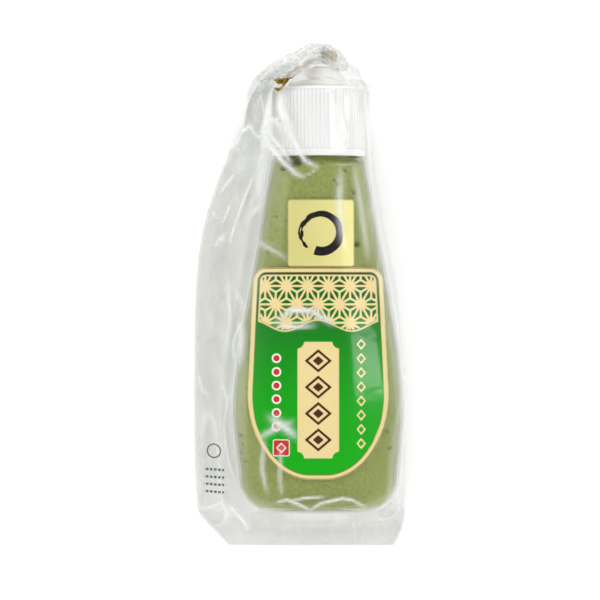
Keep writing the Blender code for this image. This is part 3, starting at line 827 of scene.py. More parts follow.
def inside_circle(x, y, cx, cy, radius):
    """Distance inside a circle, less than 0 outside it."""
    return radius - np.hypot(x - cx, y - cy)


def inside_box(x, y, cx, cy, half_x, half_y, corner=0.0):
    """Distance inside a box with round corners."""
    dx = np.abs(x - cx) - half_x + corner
    dy = np.abs(y - cy) - half_y + corner
    outside = np.hypot(np.maximum(dx, 0), np.maximum(dy, 0)) + np.minimum(np.maximum(dx, dy), 0)
    return corner - outside


def inside_lozenge(x, y, cx, cy, half_x, half_y):
    """Distance inside a lozenge that stands on its point."""
    scale = half_x * half_y / math.hypot(half_x, half_y)
    return (1 - np.abs(x - cx) / half_x - np.abs(y - cy) / half_y) * scale


def ring_of(inside, width):
    """A line of the given width along the edge of a shape, on its inner side."""
    return np.minimum(inside, width - inside)


def column_of(centres, shape):
    """One shape repeated up a column, given by a function of the height of its centre."""
    return np.max([shape(centre) for centre in centres], axis=0)


def hemp_leaf(x, y, size, line):
    """The traditional hemp-leaf net: distance inside its lines, on triangles of the given size."""
    height = size * math.sqrt(3) / 2
    best = np.full(np.shape(x), -FAR)
    row = np.floor(y / height)
    local_y = y - row * height
    shifted = x - (row % 2) * size / 2
    for tip_up in (True, False):
        offset = 0.0 if tip_up else size / 2
        column = np.floor((shifted - offset) / size + 0.5)
        local_x = shifted - offset - column * size
        up = local_y if tip_up else height - local_y
        corners = [(-size / 2, 0.0), (size / 2, 0.0), (0.0, height)]
        centre = (0.0, height / 3)
        in_triangle = np.abs(local_x) <= (height - up) * size / 2 / height
        near = np.full(np.shape(x), FAR)
        spans = [(corners[k], corners[(k + 1) % 3]) for k in range(3)] + [(centre, c) for c in corners]
        for (ax, ay), (bx, by) in spans:
            along = ((local_x - ax) * (bx - ax) + (up - ay) * (by - ay)) / ((bx - ax) ** 2 + (by - ay) ** 2)
            along = np.clip(along, 0, 1)
            near = np.minimum(near, np.hypot(local_x - ax - along * (bx - ax), up - ay - along * (by - ay)))
        best = np.where(in_triangle, np.maximum(best, line / 2 - near), best)
    return best


print("a circle of 2 mm holds its centre by", inside_circle(0.0, 0.0, 0.0, 0.0, 2.0), "mm")

# %% [markdown]
# ## Printed film
#
# The print lies under a clear gloss laminate. Ink has flat colour, and the laminate gives it a clean soft
# shine. The green ground darkens towards the head of the label. Foil is different: it is metal under a
# yellow lacquer, brushed in one direction, so its gloss is stretched across the brush lines. Its colour also
# has a painted sheen, lighter towards the foil's right side and in broad patches, in place of mirrored light.

# %% Green print


def cut(tree, name, blur=0.06):
    """A mask from a stored distance: 1 inside the shape, 0 outside, with a hair of blur."""
    stored = add_node(tree, "ShaderNodeAttribute", attribute_name=name)
    return add_node(tree, "ShaderNodeMapRange", {
        "Value": stored.outputs["Fac"], "From Min": -blur, "From Max": blur}).outputs[0]


def make_green_print():
    """Offset-printed polypropylene label with a gloss laminate."""
    made, tree, out = new_material("printed green label film")
    place = add_node(tree, "ShaderNodeTexCoord").outputs["Object"]
    along = add_node(tree, "ShaderNodeSeparateXYZ", {0: place}).outputs["Y"]
    share = add_node(tree, "ShaderNodeMapRange", {
        "Value": along, "From Min": -70 * MM, "From Max": 12 * MM}).outputs[0]
    fade = add_node(tree, "ShaderNodeValToRGB", {0: share})
    stops = ((0.0, "04ae04"), (0.35, "04a404"), (0.6, "048e0c"), (0.85, "0a6818"), (1.0, "0a5818"))
    for place_at, colour in stops[1:-1]:
        fade.color_ramp.elements.new(place_at)
    for element, (place_at, colour) in zip(fade.color_ramp.elements, stops):
        element.position = place_at
        element.color = linear(colour)
    # The dots of a printing screen are 0.15 mm apart; the mottle they give is drawn at 0.6 mm
    mottle = add_node(tree, "ShaderNodeTexNoise", {"Vector": place, "Scale": 1 / (0.6 * MM), "Detail": 2.0})
    inked = add_node(tree, "ShaderNodeMix", {0: 0.06, 6: fade.outputs[0], 7: mottle.outputs[1]},
                     data_type="RGBA", blend_type="OVERLAY")
    colour = layered(tree, inked.outputs[2], [
        (cut(tree, "cream"), linear("ead59a")),
        (cut(tree, "brown"), linear("4a2a18")),
        (cut(tree, "white"), linear("f2f1e4")),
        (cut(tree, "red"), linear("c8322c")),
        (cut(tree, "border"), linear("e6d698")),
        (cut(tree, "outline"), linear("7a5a2a")),
    ])
    relief = add_node(tree, "ShaderNodeTexNoise", {"Vector": place, "Scale": 1 / (9 * MM), "Detail": 2.0})
    bump = add_node(tree, "ShaderNodeBump", {
        "Height": relief.outputs[0], "Strength": 0.2, "Distance": 0.4 * MM})
    shader = add_node(tree, "ShaderNodeBsdfPrincipled", {
        "Base Color": colour, "Roughness": 0.3, "IOR": 1.5, "Specular IOR Level": 0.15,
        "Normal": bump.outputs[0]})
    tree.links.new(shader.outputs[0], out.inputs[0])
    return made


green_print = make_green_print()
print("material:", green_print.name)

# %% Gold foil


def make_gold_foil():
    """Brushed foil under a pale yellow lacquer, with an ink mark printed on it and a painted sheen."""
    made, tree, out = new_material("brushed gold foil")
    place = add_node(tree, "ShaderNodeTexCoord").outputs["Object"]
    stretch = add_node(tree, "ShaderNodeMapping", {"Vector": place, "Scale": (1.0, 0.04, 1.0)})
    # Brush lines are finer than 0.1 mm; they are drawn 0.35 mm apart so that they show
    brush = add_node(tree, "ShaderNodeTexNoise", {
        "Vector": stretch.outputs[0], "Scale": 1 / (0.35 * MM), "Detail": 3.0})
    # Painted reflection: broad patches and a ramp across the label make the foil's colour lighter towards its
    # right
    painted_sheen_patches = add_node(tree, "ShaderNodeTexNoise", {"Vector": place, "Scale": 1 / (16 * MM), "Detail": 1.0})
    across = add_node(tree, "ShaderNodeSeparateXYZ", {0: place}).outputs["X"]
    painted_reflection_ramp = add_node(tree, "ShaderNodeMapRange", {
        "Value": across, "From Min": (AXIS_X - 9.0) * MM, "From Max": (AXIS_X + 14.0) * MM,
        "To Max": 0.7}).outputs[0]
    painted_sheen_amount = add_node(tree, "ShaderNodeMath", {0: painted_sheen_patches.outputs[0], 1: 0.5, 2: painted_reflection_ramp}, operation="MULTIPLY_ADD")
    tone = add_node(tree, "ShaderNodeMix", {0: painted_sheen_amount.outputs[0], 6: linear("e4de8b"), 7: linear("fcf4a6")},
                    data_type="RGBA")
    ink = cut(tree, "ink")
    colour = layered(tree, tone.outputs[2], [(cut(tree, "edge"), linear("cdbd78")), (ink, linear("14130f"))])
    metal = add_node(tree, "ShaderNodeMapRange", {"Value": ink, "To Min": 0.22, "To Max": 0.0})
    rough = add_node(tree, "ShaderNodeMapRange", {"Value": brush.outputs[0], "To Min": 0.3, "To Max": 0.5})
    bump = add_node(tree, "ShaderNodeBump", {
        "Height": brush.outputs[0], "Strength": 0.15, "Distance": 0.1 * MM})
    shader = add_node(tree, "ShaderNodeBsdfPrincipled", {
        "Base Color": colour, "Metallic": metal.outputs[0], "Roughness": rough.outputs[0],
        "Normal": bump.outputs[0]})
    tree.links.new(shader.outputs[0], out.inputs[0])
    return made


gold_foil = make_gold_foil()
print("material:", gold_foil.name)

# %% Back label film


def make_back_print():
    """Plain cream label film with a green frame and ruled lines, and nothing written on them."""
    made, tree, out = new_material("ruled label film")
    place = add_node(tree, "ShaderNodeTexCoord").outputs["Object"]
    fibre = add_node(tree, "ShaderNodeTexNoise", {"Vector": place, "Scale": 1 / (0.8 * MM), "Detail": 3.0})
    paper = add_node(tree, "ShaderNodeMix", {0: fibre.outputs[0], 6: linear("efecdf"), 7: linear("f6f4ea")},
                     data_type="RGBA")
    colour = layered(tree, paper.outputs[2], [(cut(tree, "rules"), linear("2b7a31"))])
    shader = add_node(tree, "ShaderNodeBsdfPrincipled", {"Base Color": colour, "Roughness": 0.35, "IOR": 1.5})
    tree.links.new(shader.outputs[0], out.inputs[0])
    return made


back_print = make_back_print()
print("material:", back_print.name)

# %% [markdown]
# ## Gold label
#
# The square is a foil sticker, set a little right of the bottle's middle. Its mark is an ink circle made with
# one stroke of a brush. The stroke starts full at the foot and goes round anticlockwise. As the ink runs out
# it gets thinner, and the bristles leave gaps. Two kinds of noise give the hand's wobble and the gaps.

# %% Gold label with its brushed circle
GOLD = (98.2, 124.8)
GOLD_HALF = 13.2
GOLD_ASIDE = 1.1
GOLD_CORNER = 1.2
GOLD_EDGE = 0.35
STROKE_START = math.radians(250)
STROKE_END = 0.94
STROKE_RADIUS = 7.6
STROKE_WIDTH = 1.9
STROKE_THINS = 0.62
STROKE_OPENS = 0.7
WOBBLE = 0.35


def ink_circle(x, y):
    """Distance inside one brush stroke that goes round and runs dry."""
    angle = (np.arctan2(y, x) - STROKE_START) % TURN
    done = angle / TURN
    wobble = np.array([noise.noise(Vector((math.cos(a) * 1.3, math.sin(a) * 1.3, 3.0))) for a in angle])
    width = STROKE_WIDTH * (1 - STROKE_THINS * done) + WOBBLE * wobble
    reach = STROKE_RADIUS + WOBBLE * wobble + STROKE_OPENS * (done - 0.5)
    away = np.hypot(x, y)
    bristle = np.array([noise.noise(Vector((r * 1.9, a * 0.9, 7.0))) for r, a in zip(away, angle * 4)])
    ink = np.minimum(width - np.abs(away - reach), (STROKE_END - done) * 30.0)
    dry = ease(0.45, 0.95, done) * 2.2
    return ink - np.maximum(bristle + 0.12, 0) * dry


def make_gold_label():
    """A square of foil with the brushed circle and a fine darker edge."""
    start, end = GOLD
    rows = spaced_ends(start, end, GOLD_CORNER, GOLD_CORNER, 0.25)
    half = end_rounding(rows, start, end, GOLD_HALF, GOLD_CORNER, GOLD_CORNER)
    piece, x, along = label_piece("gold_square_label", rows, half, LABEL_COLUMNS, gold_foil,
                                  ["gold_label"], aside=GOLD_ASIDE)
    y = along - (start + end) / 2
    store(piece, "ink", ink_circle(x, y))
    square = inside_box(x, y, 0, 0, GOLD_HALF, (end - start) / 2, GOLD_CORNER)
    store(piece, "edge", ring_of(square, GOLD_EDGE))


make_gold_label()

# %% [markdown]
# ## Green label's outline
#
# The large label has a straight head with small corners, sides that flare a little, and a long round foot.
# It is printed in green with a cream border. The border has to keep its width round every corner, so its
# distance is measured from points walked along the outline, and not from a formula.

# %% Green label outline
GREEN = (14.0, 97.8)
GREEN_TOP_HALF = 25.6
GREEN_FLARE = 2.4
HEAD_ROUND = 5.0
FOOT_ROUND = 34.0
FOOT_ROUND_ACROSS = GREEN_TOP_HALF + GREEN_FLARE - 3.0
HEAD_STRAIGHT = 20.0
BORDER = 1.9


def green_half_width(along):
    """Half width of the label at places along it."""
    start, end = GREEN
    flare = np.clip((end - along) / (end - start - FOOT_ROUND), 0, 1)
    full = GREEN_TOP_HALF + GREEN_FLARE * flare
    return end_rounding(along, start, end, full, FOOT_ROUND, HEAD_ROUND, FOOT_ROUND_ACROSS)


def inside_outline(across, along):
    """Distance inside the label's outline, from points walked along it."""
    start, end = GREEN
    walk = spaced_ends(start, end, FOOT_ROUND, HEAD_ROUND, 0.8)
    half = green_half_width(walk)
    head = np.linspace(-HEAD_STRAIGHT, HEAD_STRAIGHT, 60)
    foot = np.linspace(-half[0], half[0], 12)
    outline = np.concatenate([
        np.column_stack([half, walk]), np.column_stack([-half, walk]),
        np.column_stack([head, np.full(60, end)]), np.column_stack([foot, np.full(12, start)])])
    best = np.full(len(across), FAR)
    for x, y in outline:
        best = np.minimum(best, np.hypot(across - x, along - y))
    return best


print("half width of the green label at its middle:", round(float(green_half_width(np.array([56.0]))[0]), 2))

# %% [markdown]
# ## Green label's print
#
# A hemp-leaf net fills the head, down to a wavy hem. It is a traditional pattern of stars, and stands for
# straight growth. Below it are a cream plaque with four lozenges, a column of small lozenges at the right,
# and a column of red dots over a red square at the left. Each colour is one union of shapes, stored as one
# distance.

# %% Net and hem
NET_FOOT = 75.5
NET_SIZE = 8.4
NET_LINE = 0.85
NET_MARGIN = 1.5
HEM_FOOT = 74.6
HEM_LINE = 0.6
HEM_MARGIN = 0.9
HEM_DEPTH = 2.2
HEM_LENGTH = 4.2


def net_and_hem(x, y, inside):
    """The hemp-leaf net over the head of the label, and the line along its wavy foot."""
    wave = HEM_DEPTH * np.cos(x / HEM_LENGTH)
    head = np.minimum(inside - BORDER - NET_MARGIN, y - (NET_FOOT + wave))
    net = np.minimum(hemp_leaf(x, y - NET_FOOT - 0.5, NET_SIZE, NET_LINE), head)
    hem = ring_of(np.minimum(inside - BORDER - HEM_MARGIN, y - (HEM_FOOT + wave)), HEM_LINE)
    return np.maximum(net, hem)


print("the hem waves between", HEM_FOOT - HEM_DEPTH, "and", HEM_FOOT + HEM_DEPTH, "mm from the base")

# %% Plaque, lozenges and dots
PLAQUE_Y = 45.5
PLAQUE_HALF = (8.2, 23.0)
PLAQUE_BITE = 2.6
PLAQUE_LOZENGES = 61.0 - 10.4 * np.arange(4)
SIDE_LOZENGES = 67.5 - 5.6 * np.arange(8)
SIDE_LOZENGE_X = 17.0
DOTS = 62.0 - 5.4 * np.arange(6)
DOT_X = -16.5
SEAL_PLACE = (-14.6, 26.6)


def plaque(x, y):
    """A tall box with a round bite out of each corner."""
    half_x, half_y = PLAQUE_HALF
    shape = inside_box(x, y, 0.0, PLAQUE_Y, half_x, half_y)
    for side_x in (-1, 1):
        for side_y in (-1, 1):
            bite = inside_circle(x, y, side_x * half_x, PLAQUE_Y + side_y * half_y, PLAQUE_BITE)
            shape = np.minimum(shape, -bite)
    return shape


def plaque_lozenges(x, y):
    """Lozenge rings with a small lozenge in each."""
    outer = column_of(PLAQUE_LOZENGES, lambda cy: ring_of(inside_lozenge(x, y, 0.0, cy, 5.4, 4.6), 0.95))
    inner = column_of(PLAQUE_LOZENGES, lambda cy: inside_lozenge(x, y, 0.0, cy, 2.2, 1.9))
    return np.maximum(outer, inner)


def side_lozenges(x, y):
    """A column of small lozenge rings."""
    return column_of(SIDE_LOZENGES,
                     lambda cy: ring_of(inside_lozenge(x, y, SIDE_LOZENGE_X, cy, 1.9, 2.3), 0.62))


def dots_and_seal(x, y):
    """The white and the red distances of the dots and of the small square below them."""
    white = column_of(DOTS, lambda cy: inside_circle(x, y, DOT_X, cy, 1.9))
    red = column_of(DOTS, lambda cy: inside_circle(x, y, DOT_X, cy, 1.25))
    square = inside_box(x, y, *SEAL_PLACE, 3.0, 3.0, 0.6)
    mark = ring_of(inside_lozenge(x, y, *SEAL_PLACE, 2.1, 2.1), 0.45)
    return np.maximum(white, square + 0.35), np.maximum(red, np.minimum(square, -mark))


print("lozenges:", len(PLAQUE_LOZENGES), "large and", len(SIDE_LOZENGES), "small; dots:", len(DOTS))

# %% Green label


def make_green_label():
    """The label with each of its colours stored as a distance."""
    start, end = GREEN
    rows = spaced_ends(start, end, FOOT_ROUND, HEAD_ROUND, 0.42)
    piece, x, y = label_piece("green_front_label", rows, green_half_width(rows), LABEL_COLUMNS, green_print,
                              ["front_label"])
    inside = inside_outline(x, y)
    white, red = dots_and_seal(x, y)
    store(piece, "border", BORDER - inside)
    store(piece, "outline", np.maximum(0.16 - np.abs(inside - BORDER), 0.12 - np.abs(inside - 0.35)))
    cream = np.maximum(net_and_hem(x, y, inside), plaque(x, y))
    store(piece, "cream", np.maximum(cream, side_lozenges(x, y)))
    store(piece, "brown", plaque_lozenges(x, y))
    store(piece, "white", white)
    store(piece, "red", red)


make_green_label()

# %% [markdown]
# ## Back label
#
# Such a bottle has its data on the back. This one has a plain rounded panel there with a green frame and nine
# ruled lines, and nothing is written on it.

# %% Back label
BACK = (30.0, 88.0)
BACK_HALF = 20.0
BACK_CORNER = 3.0
FRAME_MARGIN = 1.6
FRAME_LINE = 0.8
RULES = BACK[0] + 9.0 + 5.0 * np.arange(9)
RULE_MARGIN = 4.0
RULE_HALF = 0.18


def make_back_label():
    """A plain rounded label on the underside, ruled like a data panel and left empty."""
    start, end = BACK
    rows = spaced_ends(start, end, BACK_CORNER, BACK_CORNER, 0.6)
    half = end_rounding(rows, start, end, BACK_HALF, BACK_CORNER, BACK_CORNER)
    piece, x, y = label_piece("back_panel_label", rows, half, 70, back_print,
                              ["back_label"], sign=-1.0)
    panel = inside_box(x, y, 0.0, (start + end) / 2, BACK_HALF - FRAME_MARGIN,
                       (end - start) / 2 - FRAME_MARGIN, 2.0)
    lines = column_of(RULES, lambda cy: inside_box(x, y, 0.0, cy, BACK_HALF - RULE_MARGIN, RULE_HALF))
    store(piece, "rules", np.maximum(ring_of(panel, FRAME_LINE), lines))


make_back_label()

# %% [markdown]
# ## Film bag
#
# The bag is a flat tube of thin cast polypropylene film, sealed across its foot and gathered past the caps.
# It lies on the floor, is pulled over the bottle, and falls slack at the left. At each distance along the bag
# its section is the tightest loop round two side folds and whatever the bag holds there. That is a convex
# hull, so each ring is found by asking, for many directions, which point reaches furthest.

# %% What the bag holds
FILM_REACH = 0.35
FLAP_GAP = 0.3
FILM_BASE = 0.6
TENT_LENGTH = 9.0
TIE_X = 9.3
NECK_Y = 96.0
MOUTH_Y = 100.8
CLEARANCE = 1.0
BODY_END = CAP_FOOT_Y - 3.0
# Half width and half depth of the caps and the gathered neck, after their y, in mm
CAP_RINGS = [
    (BODY_END, *body_half(BODY_END - BASE_Y)),
    (CAP_FOOT_Y, RIM_RADIUS, RIM_RADIUS),
    (CAP_TOP_Y + 0.4, 18.4, 18.4),
    (CAP_TOP_Y + 4.0, 11.8, 11.8),
    (CAP_TOP_Y + 8.3, 8.9, 8.9),
    (NECK_Y - 1.2, 3.0, 3.0),
    (NECK_Y + 1.2, 3.0, 3.0),
    (MOUTH_Y, 3.4, 1.6),
]


def contents_section(y):
    """Half width, half depth and height of what the bag holds at y."""
    along = y - BASE_Y
    if along < 0.0:
        left = max(1.0 + along / TENT_LENGTH, 0.0)
        width, depth = body_half(0.0)
        flat = FLAP_GAP + FILM_BASE
        return width * (0.5 + 0.5 * left), depth * left, flat + (AXIS_Z - flat) * left
    if y <= BODY_END:
        return *body_half(along), AXIS_Z
    return *smooth_between(CAP_RINGS, y)[0], AXIS_Z


print("the bag holds, at the cap's foot:", [round(float(v), 1) for v in contents_section(CAP_FOOT_Y)])

# %% [markdown]
# ## Bag sections
#
# The side folds are given at a few stations, in millimetres, and follow the outline of the bag from its flat
# foot to its neck. The film keeps a little clear of the bottle. Each ring has more points on its upper side,
# where the folds show.

# %% Bag sections
# y, left fold, right fold, height of both folds
BAG_STATIONS = [
    (-MOUTH_Y, -29.0, 38.5, 0.0),
    (-94.0, -35.5, 41.6, 0.0),
    (-86.0, -41.6, 42.6, 0.0),
    (-40.0, -43.0, 41.5, 0.0),
    (0.0, -42.5, 39.5, 0.0),
    (24.0, -40.0, 35.0, 0.0),
    (48.0, -33.0, 31.0, 0.0),
    (66.0, -24.5, 29.0, 5.0),
    (80.0, -19.5, 27.0, 13.0),
    (88.0, -13.0, 24.5, 19.0),
    (92.6, -4.5, 21.0, 21.0),
    (94.8, 4.8, 13.8, AXIS_Z),
    (97.2, 4.8, 13.8, AXIS_Z),
    (MOUTH_Y, 4.4, 11.4, AXIS_Z),
]
BAG_CLEARANCES = [(BASE_Y - 9.0, 0.0), (BASE_Y - 1.0, CLEARANCE), (91.5, CLEARANCE), (94.8, 0.2)]
BAG_MIDDLE = [(CAP_TOP_Y, AXIS_X), (NECK_Y, TIE_X), (MOUTH_Y, TIE_X - 1.0)]


def bag_middle(y):
    """The middle of what the bag holds: the bottle's axis, then the neck's."""
    return float(smooth_between(BAG_MIDDLE, y)[0, 0])


def bag_outline(y):
    """Points whose hull is the film's section at y."""
    left, right, fold = smooth_between(BAG_STATIONS, y)[0]
    width, depth, height = contents_section(y)
    reach = float(smooth_between(BAG_CLEARANCES, y)[0, 0]) + FILM_REACH
    angles = np.linspace(0.0, TURN, 360, endpoint=False)
    power = 2.0 / SQUARENESS if y < CAP_FOOT_Y else 1.0
    across = np.sign(np.cos(angles)) * np.abs(np.cos(angles)) ** power
    upwards = np.sign(np.sin(angles)) * np.abs(np.sin(angles)) ** power
    radius = FLAP_GAP + FILM_REACH
    fold_z = max(fold, FLAP_GAP + FILM_BASE) + radius * np.sin(angles)
    xs = [bag_middle(y) + (width + reach) * across,
          left + FLAP_GAP + FILM_BASE + radius * np.cos(angles),
          right - FLAP_GAP - FILM_BASE + radius * np.cos(angles)]
    return np.concatenate(xs), np.concatenate([height + (depth + reach) * upwards, fold_z, fold_z])


print("the bag's middle at the tie is at x =", round(bag_middle(NECK_Y), 1), "mm")

# %% Rings of film
UPPER, LOWER = 144, 72
RING_POINTS = UPPER + LOWER
UPPER_LEFT, UPPER_RIGHT, LOWER_LEFT = TURN * 5 / 8, -TURN / 8, -TURN * 3 / 8


def hull_path(xs, zs, start, end, count):
    """Evenly spaced points along the hull between two directions."""
    turns = np.linspace(start, end, 700)
    order = np.argmax(np.outer(np.cos(turns), xs) + np.outer(np.sin(turns), zs), axis=1)
    x, z = xs[order], zs[order]
    run = np.concatenate([[0.0], np.cumsum(np.hypot(np.diff(x), np.diff(z)))])
    at = np.linspace(0.0, run[-1], count + 1)[:-1]
    return np.stack([np.interp(at, run, x), np.interp(at, run, z)], axis=1)


def film_ring(y):
    """The smooth section of the film: over the top from left to right, then back underneath."""
    xs, zs = bag_outline(y)
    upper = hull_path(xs, zs, UPPER_LEFT, UPPER_RIGHT, UPPER)
    lower = hull_path(xs, zs, UPPER_RIGHT, LOWER_LEFT, LOWER)
    return np.concatenate([upper, lower])


def bag_ys():
    """Stations along the bag, close together at the foot, over the caps and at the neck."""
    return np.concatenate([np.linspace(-MOUTH_Y, -76.0, 34), np.linspace(-75.0, 44.0, 92),
                           np.linspace(45.0, 86.0, 40), np.linspace(86.6, MOUTH_Y, 30)])


def lay_out_film():
    """The smooth film as flat lists of points, with what its folds need to know at each of them."""
    ys = bag_ys()
    rings = np.array([film_ring(y) for y in ys])
    run = np.roll(rings, -1, axis=1) - np.roll(rings, 1, axis=1)
    out = np.stack([-run[:, :, 1], run[:, :, 0]], axis=2)
    out /= np.maximum(np.linalg.norm(out, axis=2, keepdims=True), 1e-9)
    folds = smooth_between(BAG_STATIONS, ys)
    return SimpleNamespace(
        rings=len(ys),
        x=rings[:, :, 0].ravel(),
        y=np.repeat(ys, RING_POINTS),
        z=rings[:, :, 1].ravel(),
        out_x=out[:, :, 0].ravel(),
        out_z=out[:, :, 1].ravel(),
        upper=np.tile(np.arange(RING_POINTS) < UPPER, len(ys)),
        left=np.repeat(folds[:, 0], RING_POINTS),
        right=np.repeat(folds[:, 1], RING_POINTS),
        half=np.repeat([contents_section(y)[0] for y in ys], RING_POINTS),
        middle=np.repeat([bag_middle(y) for y in ys], RING_POINTS),
    )


film = lay_out_film()
print("smooth film:", film.rings, "rings of", RING_POINTS, "points")

# %% [markdown]
# ## Slack and crumpling
#
# Film can't stretch, so where it is slack it sags, and breaks into sharp ridges with flatter places between.
# Noise folded at zero gives such ridges, and plain noise gives soft waves. Both are drawn out along the bag,
# because its folds run from the foot to the tie. They are strong in the loose sides and round the caps, and
# weak where the film is tight over the bottle.

# %% Slack and crumpling
SLACK = 5.0
SLACK_END = 72.0
SLACK_WAVE = 62.0
TOUCH_LEFT = 0.8
TOUCH_RIGHT = 0.75
LOOSE_FADE = 8.0
EDGE_FADE = 7.0
ROUND_CAPS = (50.0, 62.0)
LEFT_OF_CAPS = (-4.0, -9.0)
AT_NECK = (89.0, 93.0)
PAST_BASE = (-84.0, -90.0)
RIDGE_SHARPNESS = 2.6
# Ridges and waves: spacing in mm, seed, and how closely they follow each other in x, y and z
BIG_RIDGES = (16.0, 3.0, (1.0, 0.22, 0.6))
SMALL_RIDGES = (8.0, 11.0, (1.0, 0.45, 0.6))
SOFT_WAVES = (9.0, 5.0, (1.0, 0.2, 0.5))
WAVE_HEIGHT = 0.7
TIGHT_HEIGHT = 0.05
BIG_HEIGHT = 0.45
SMALL_HEIGHT = 0.22
UNDERSIDE_SHARE = 0.12


def noise_at(points, spacing, seed, stretch):
    """Smooth noise with features of the given spacing, for points in millimetres."""
    places = np.asarray(points, float) * stretch / spacing + (0.0, 0.0, seed)
    return np.array([noise.noise(Vector(place)) for place in places])


def ridges(points, spacing, seed, stretch=(1.0, 1.0, 1.0)):
    """Sharp connected ridges from folded noise: 1 on a ridge, near 0 between."""
    return 1.0 - np.minimum(np.abs(noise_at(points, spacing, seed, stretch)) * RIDGE_SHARPNESS, 1.0)


def waves(points, spacing, seed, stretch=(1.0, 1.0, 1.0)):
    """Soft rolling folds, from 0 to 1."""
    return np.clip(0.5 + noise_at(points, spacing, seed, stretch), 0.0, 1.0)


def slack_sag():
    """How far the film hangs below a straight line from its left fold to the bottle."""
    touch = AXIS_X - TOUCH_LEFT * film.half
    across = np.clip((film.x - film.left) / np.maximum(touch - film.left, 1.0), 0.0, 1.0)
    along = np.clip((film.y - BASE_Y) / (SLACK_END - BASE_Y), 0.0, 1.0)
    wave = 0.7 + 0.3 * np.sin(TURN * film.y / SLACK_WAVE)
    return SLACK * np.sin(math.pi * along) * wave * np.sin(math.pi * across) ** 2 * film.upper


def looseness():
    """How loose the film is at each point, from 0 where it is tight to 1."""
    right = ease(0.0, LOOSE_FADE, film.x - (AXIS_X + TOUCH_RIGHT * film.half))
    left = ease(0.0, LOOSE_FADE, AXIS_X - TOUCH_LEFT * film.half - film.x)
    caps = ease(*ROUND_CAPS, film.y) * np.maximum(ease(*LEFT_OF_CAPS, film.x), 0.25)
    neck = 0.5 * ease(*AT_NECK, film.y)
    return np.clip(np.maximum(left, right) + caps + neck + ease(*PAST_BASE, film.y), 0, 1)


film_points = np.stack([film.x, film.y, film.z], axis=1)
big = ridges(film_points, *BIG_RIDGES)
small = ridges(film_points, *SMALL_RIDGES)
soft = waves(film_points, *SOFT_WAVES)
loose = looseness()
fold_edge = np.minimum(film.x - film.left, film.right - film.x)
print("share of the film that is loose:", round(float(loose.mean()), 2))
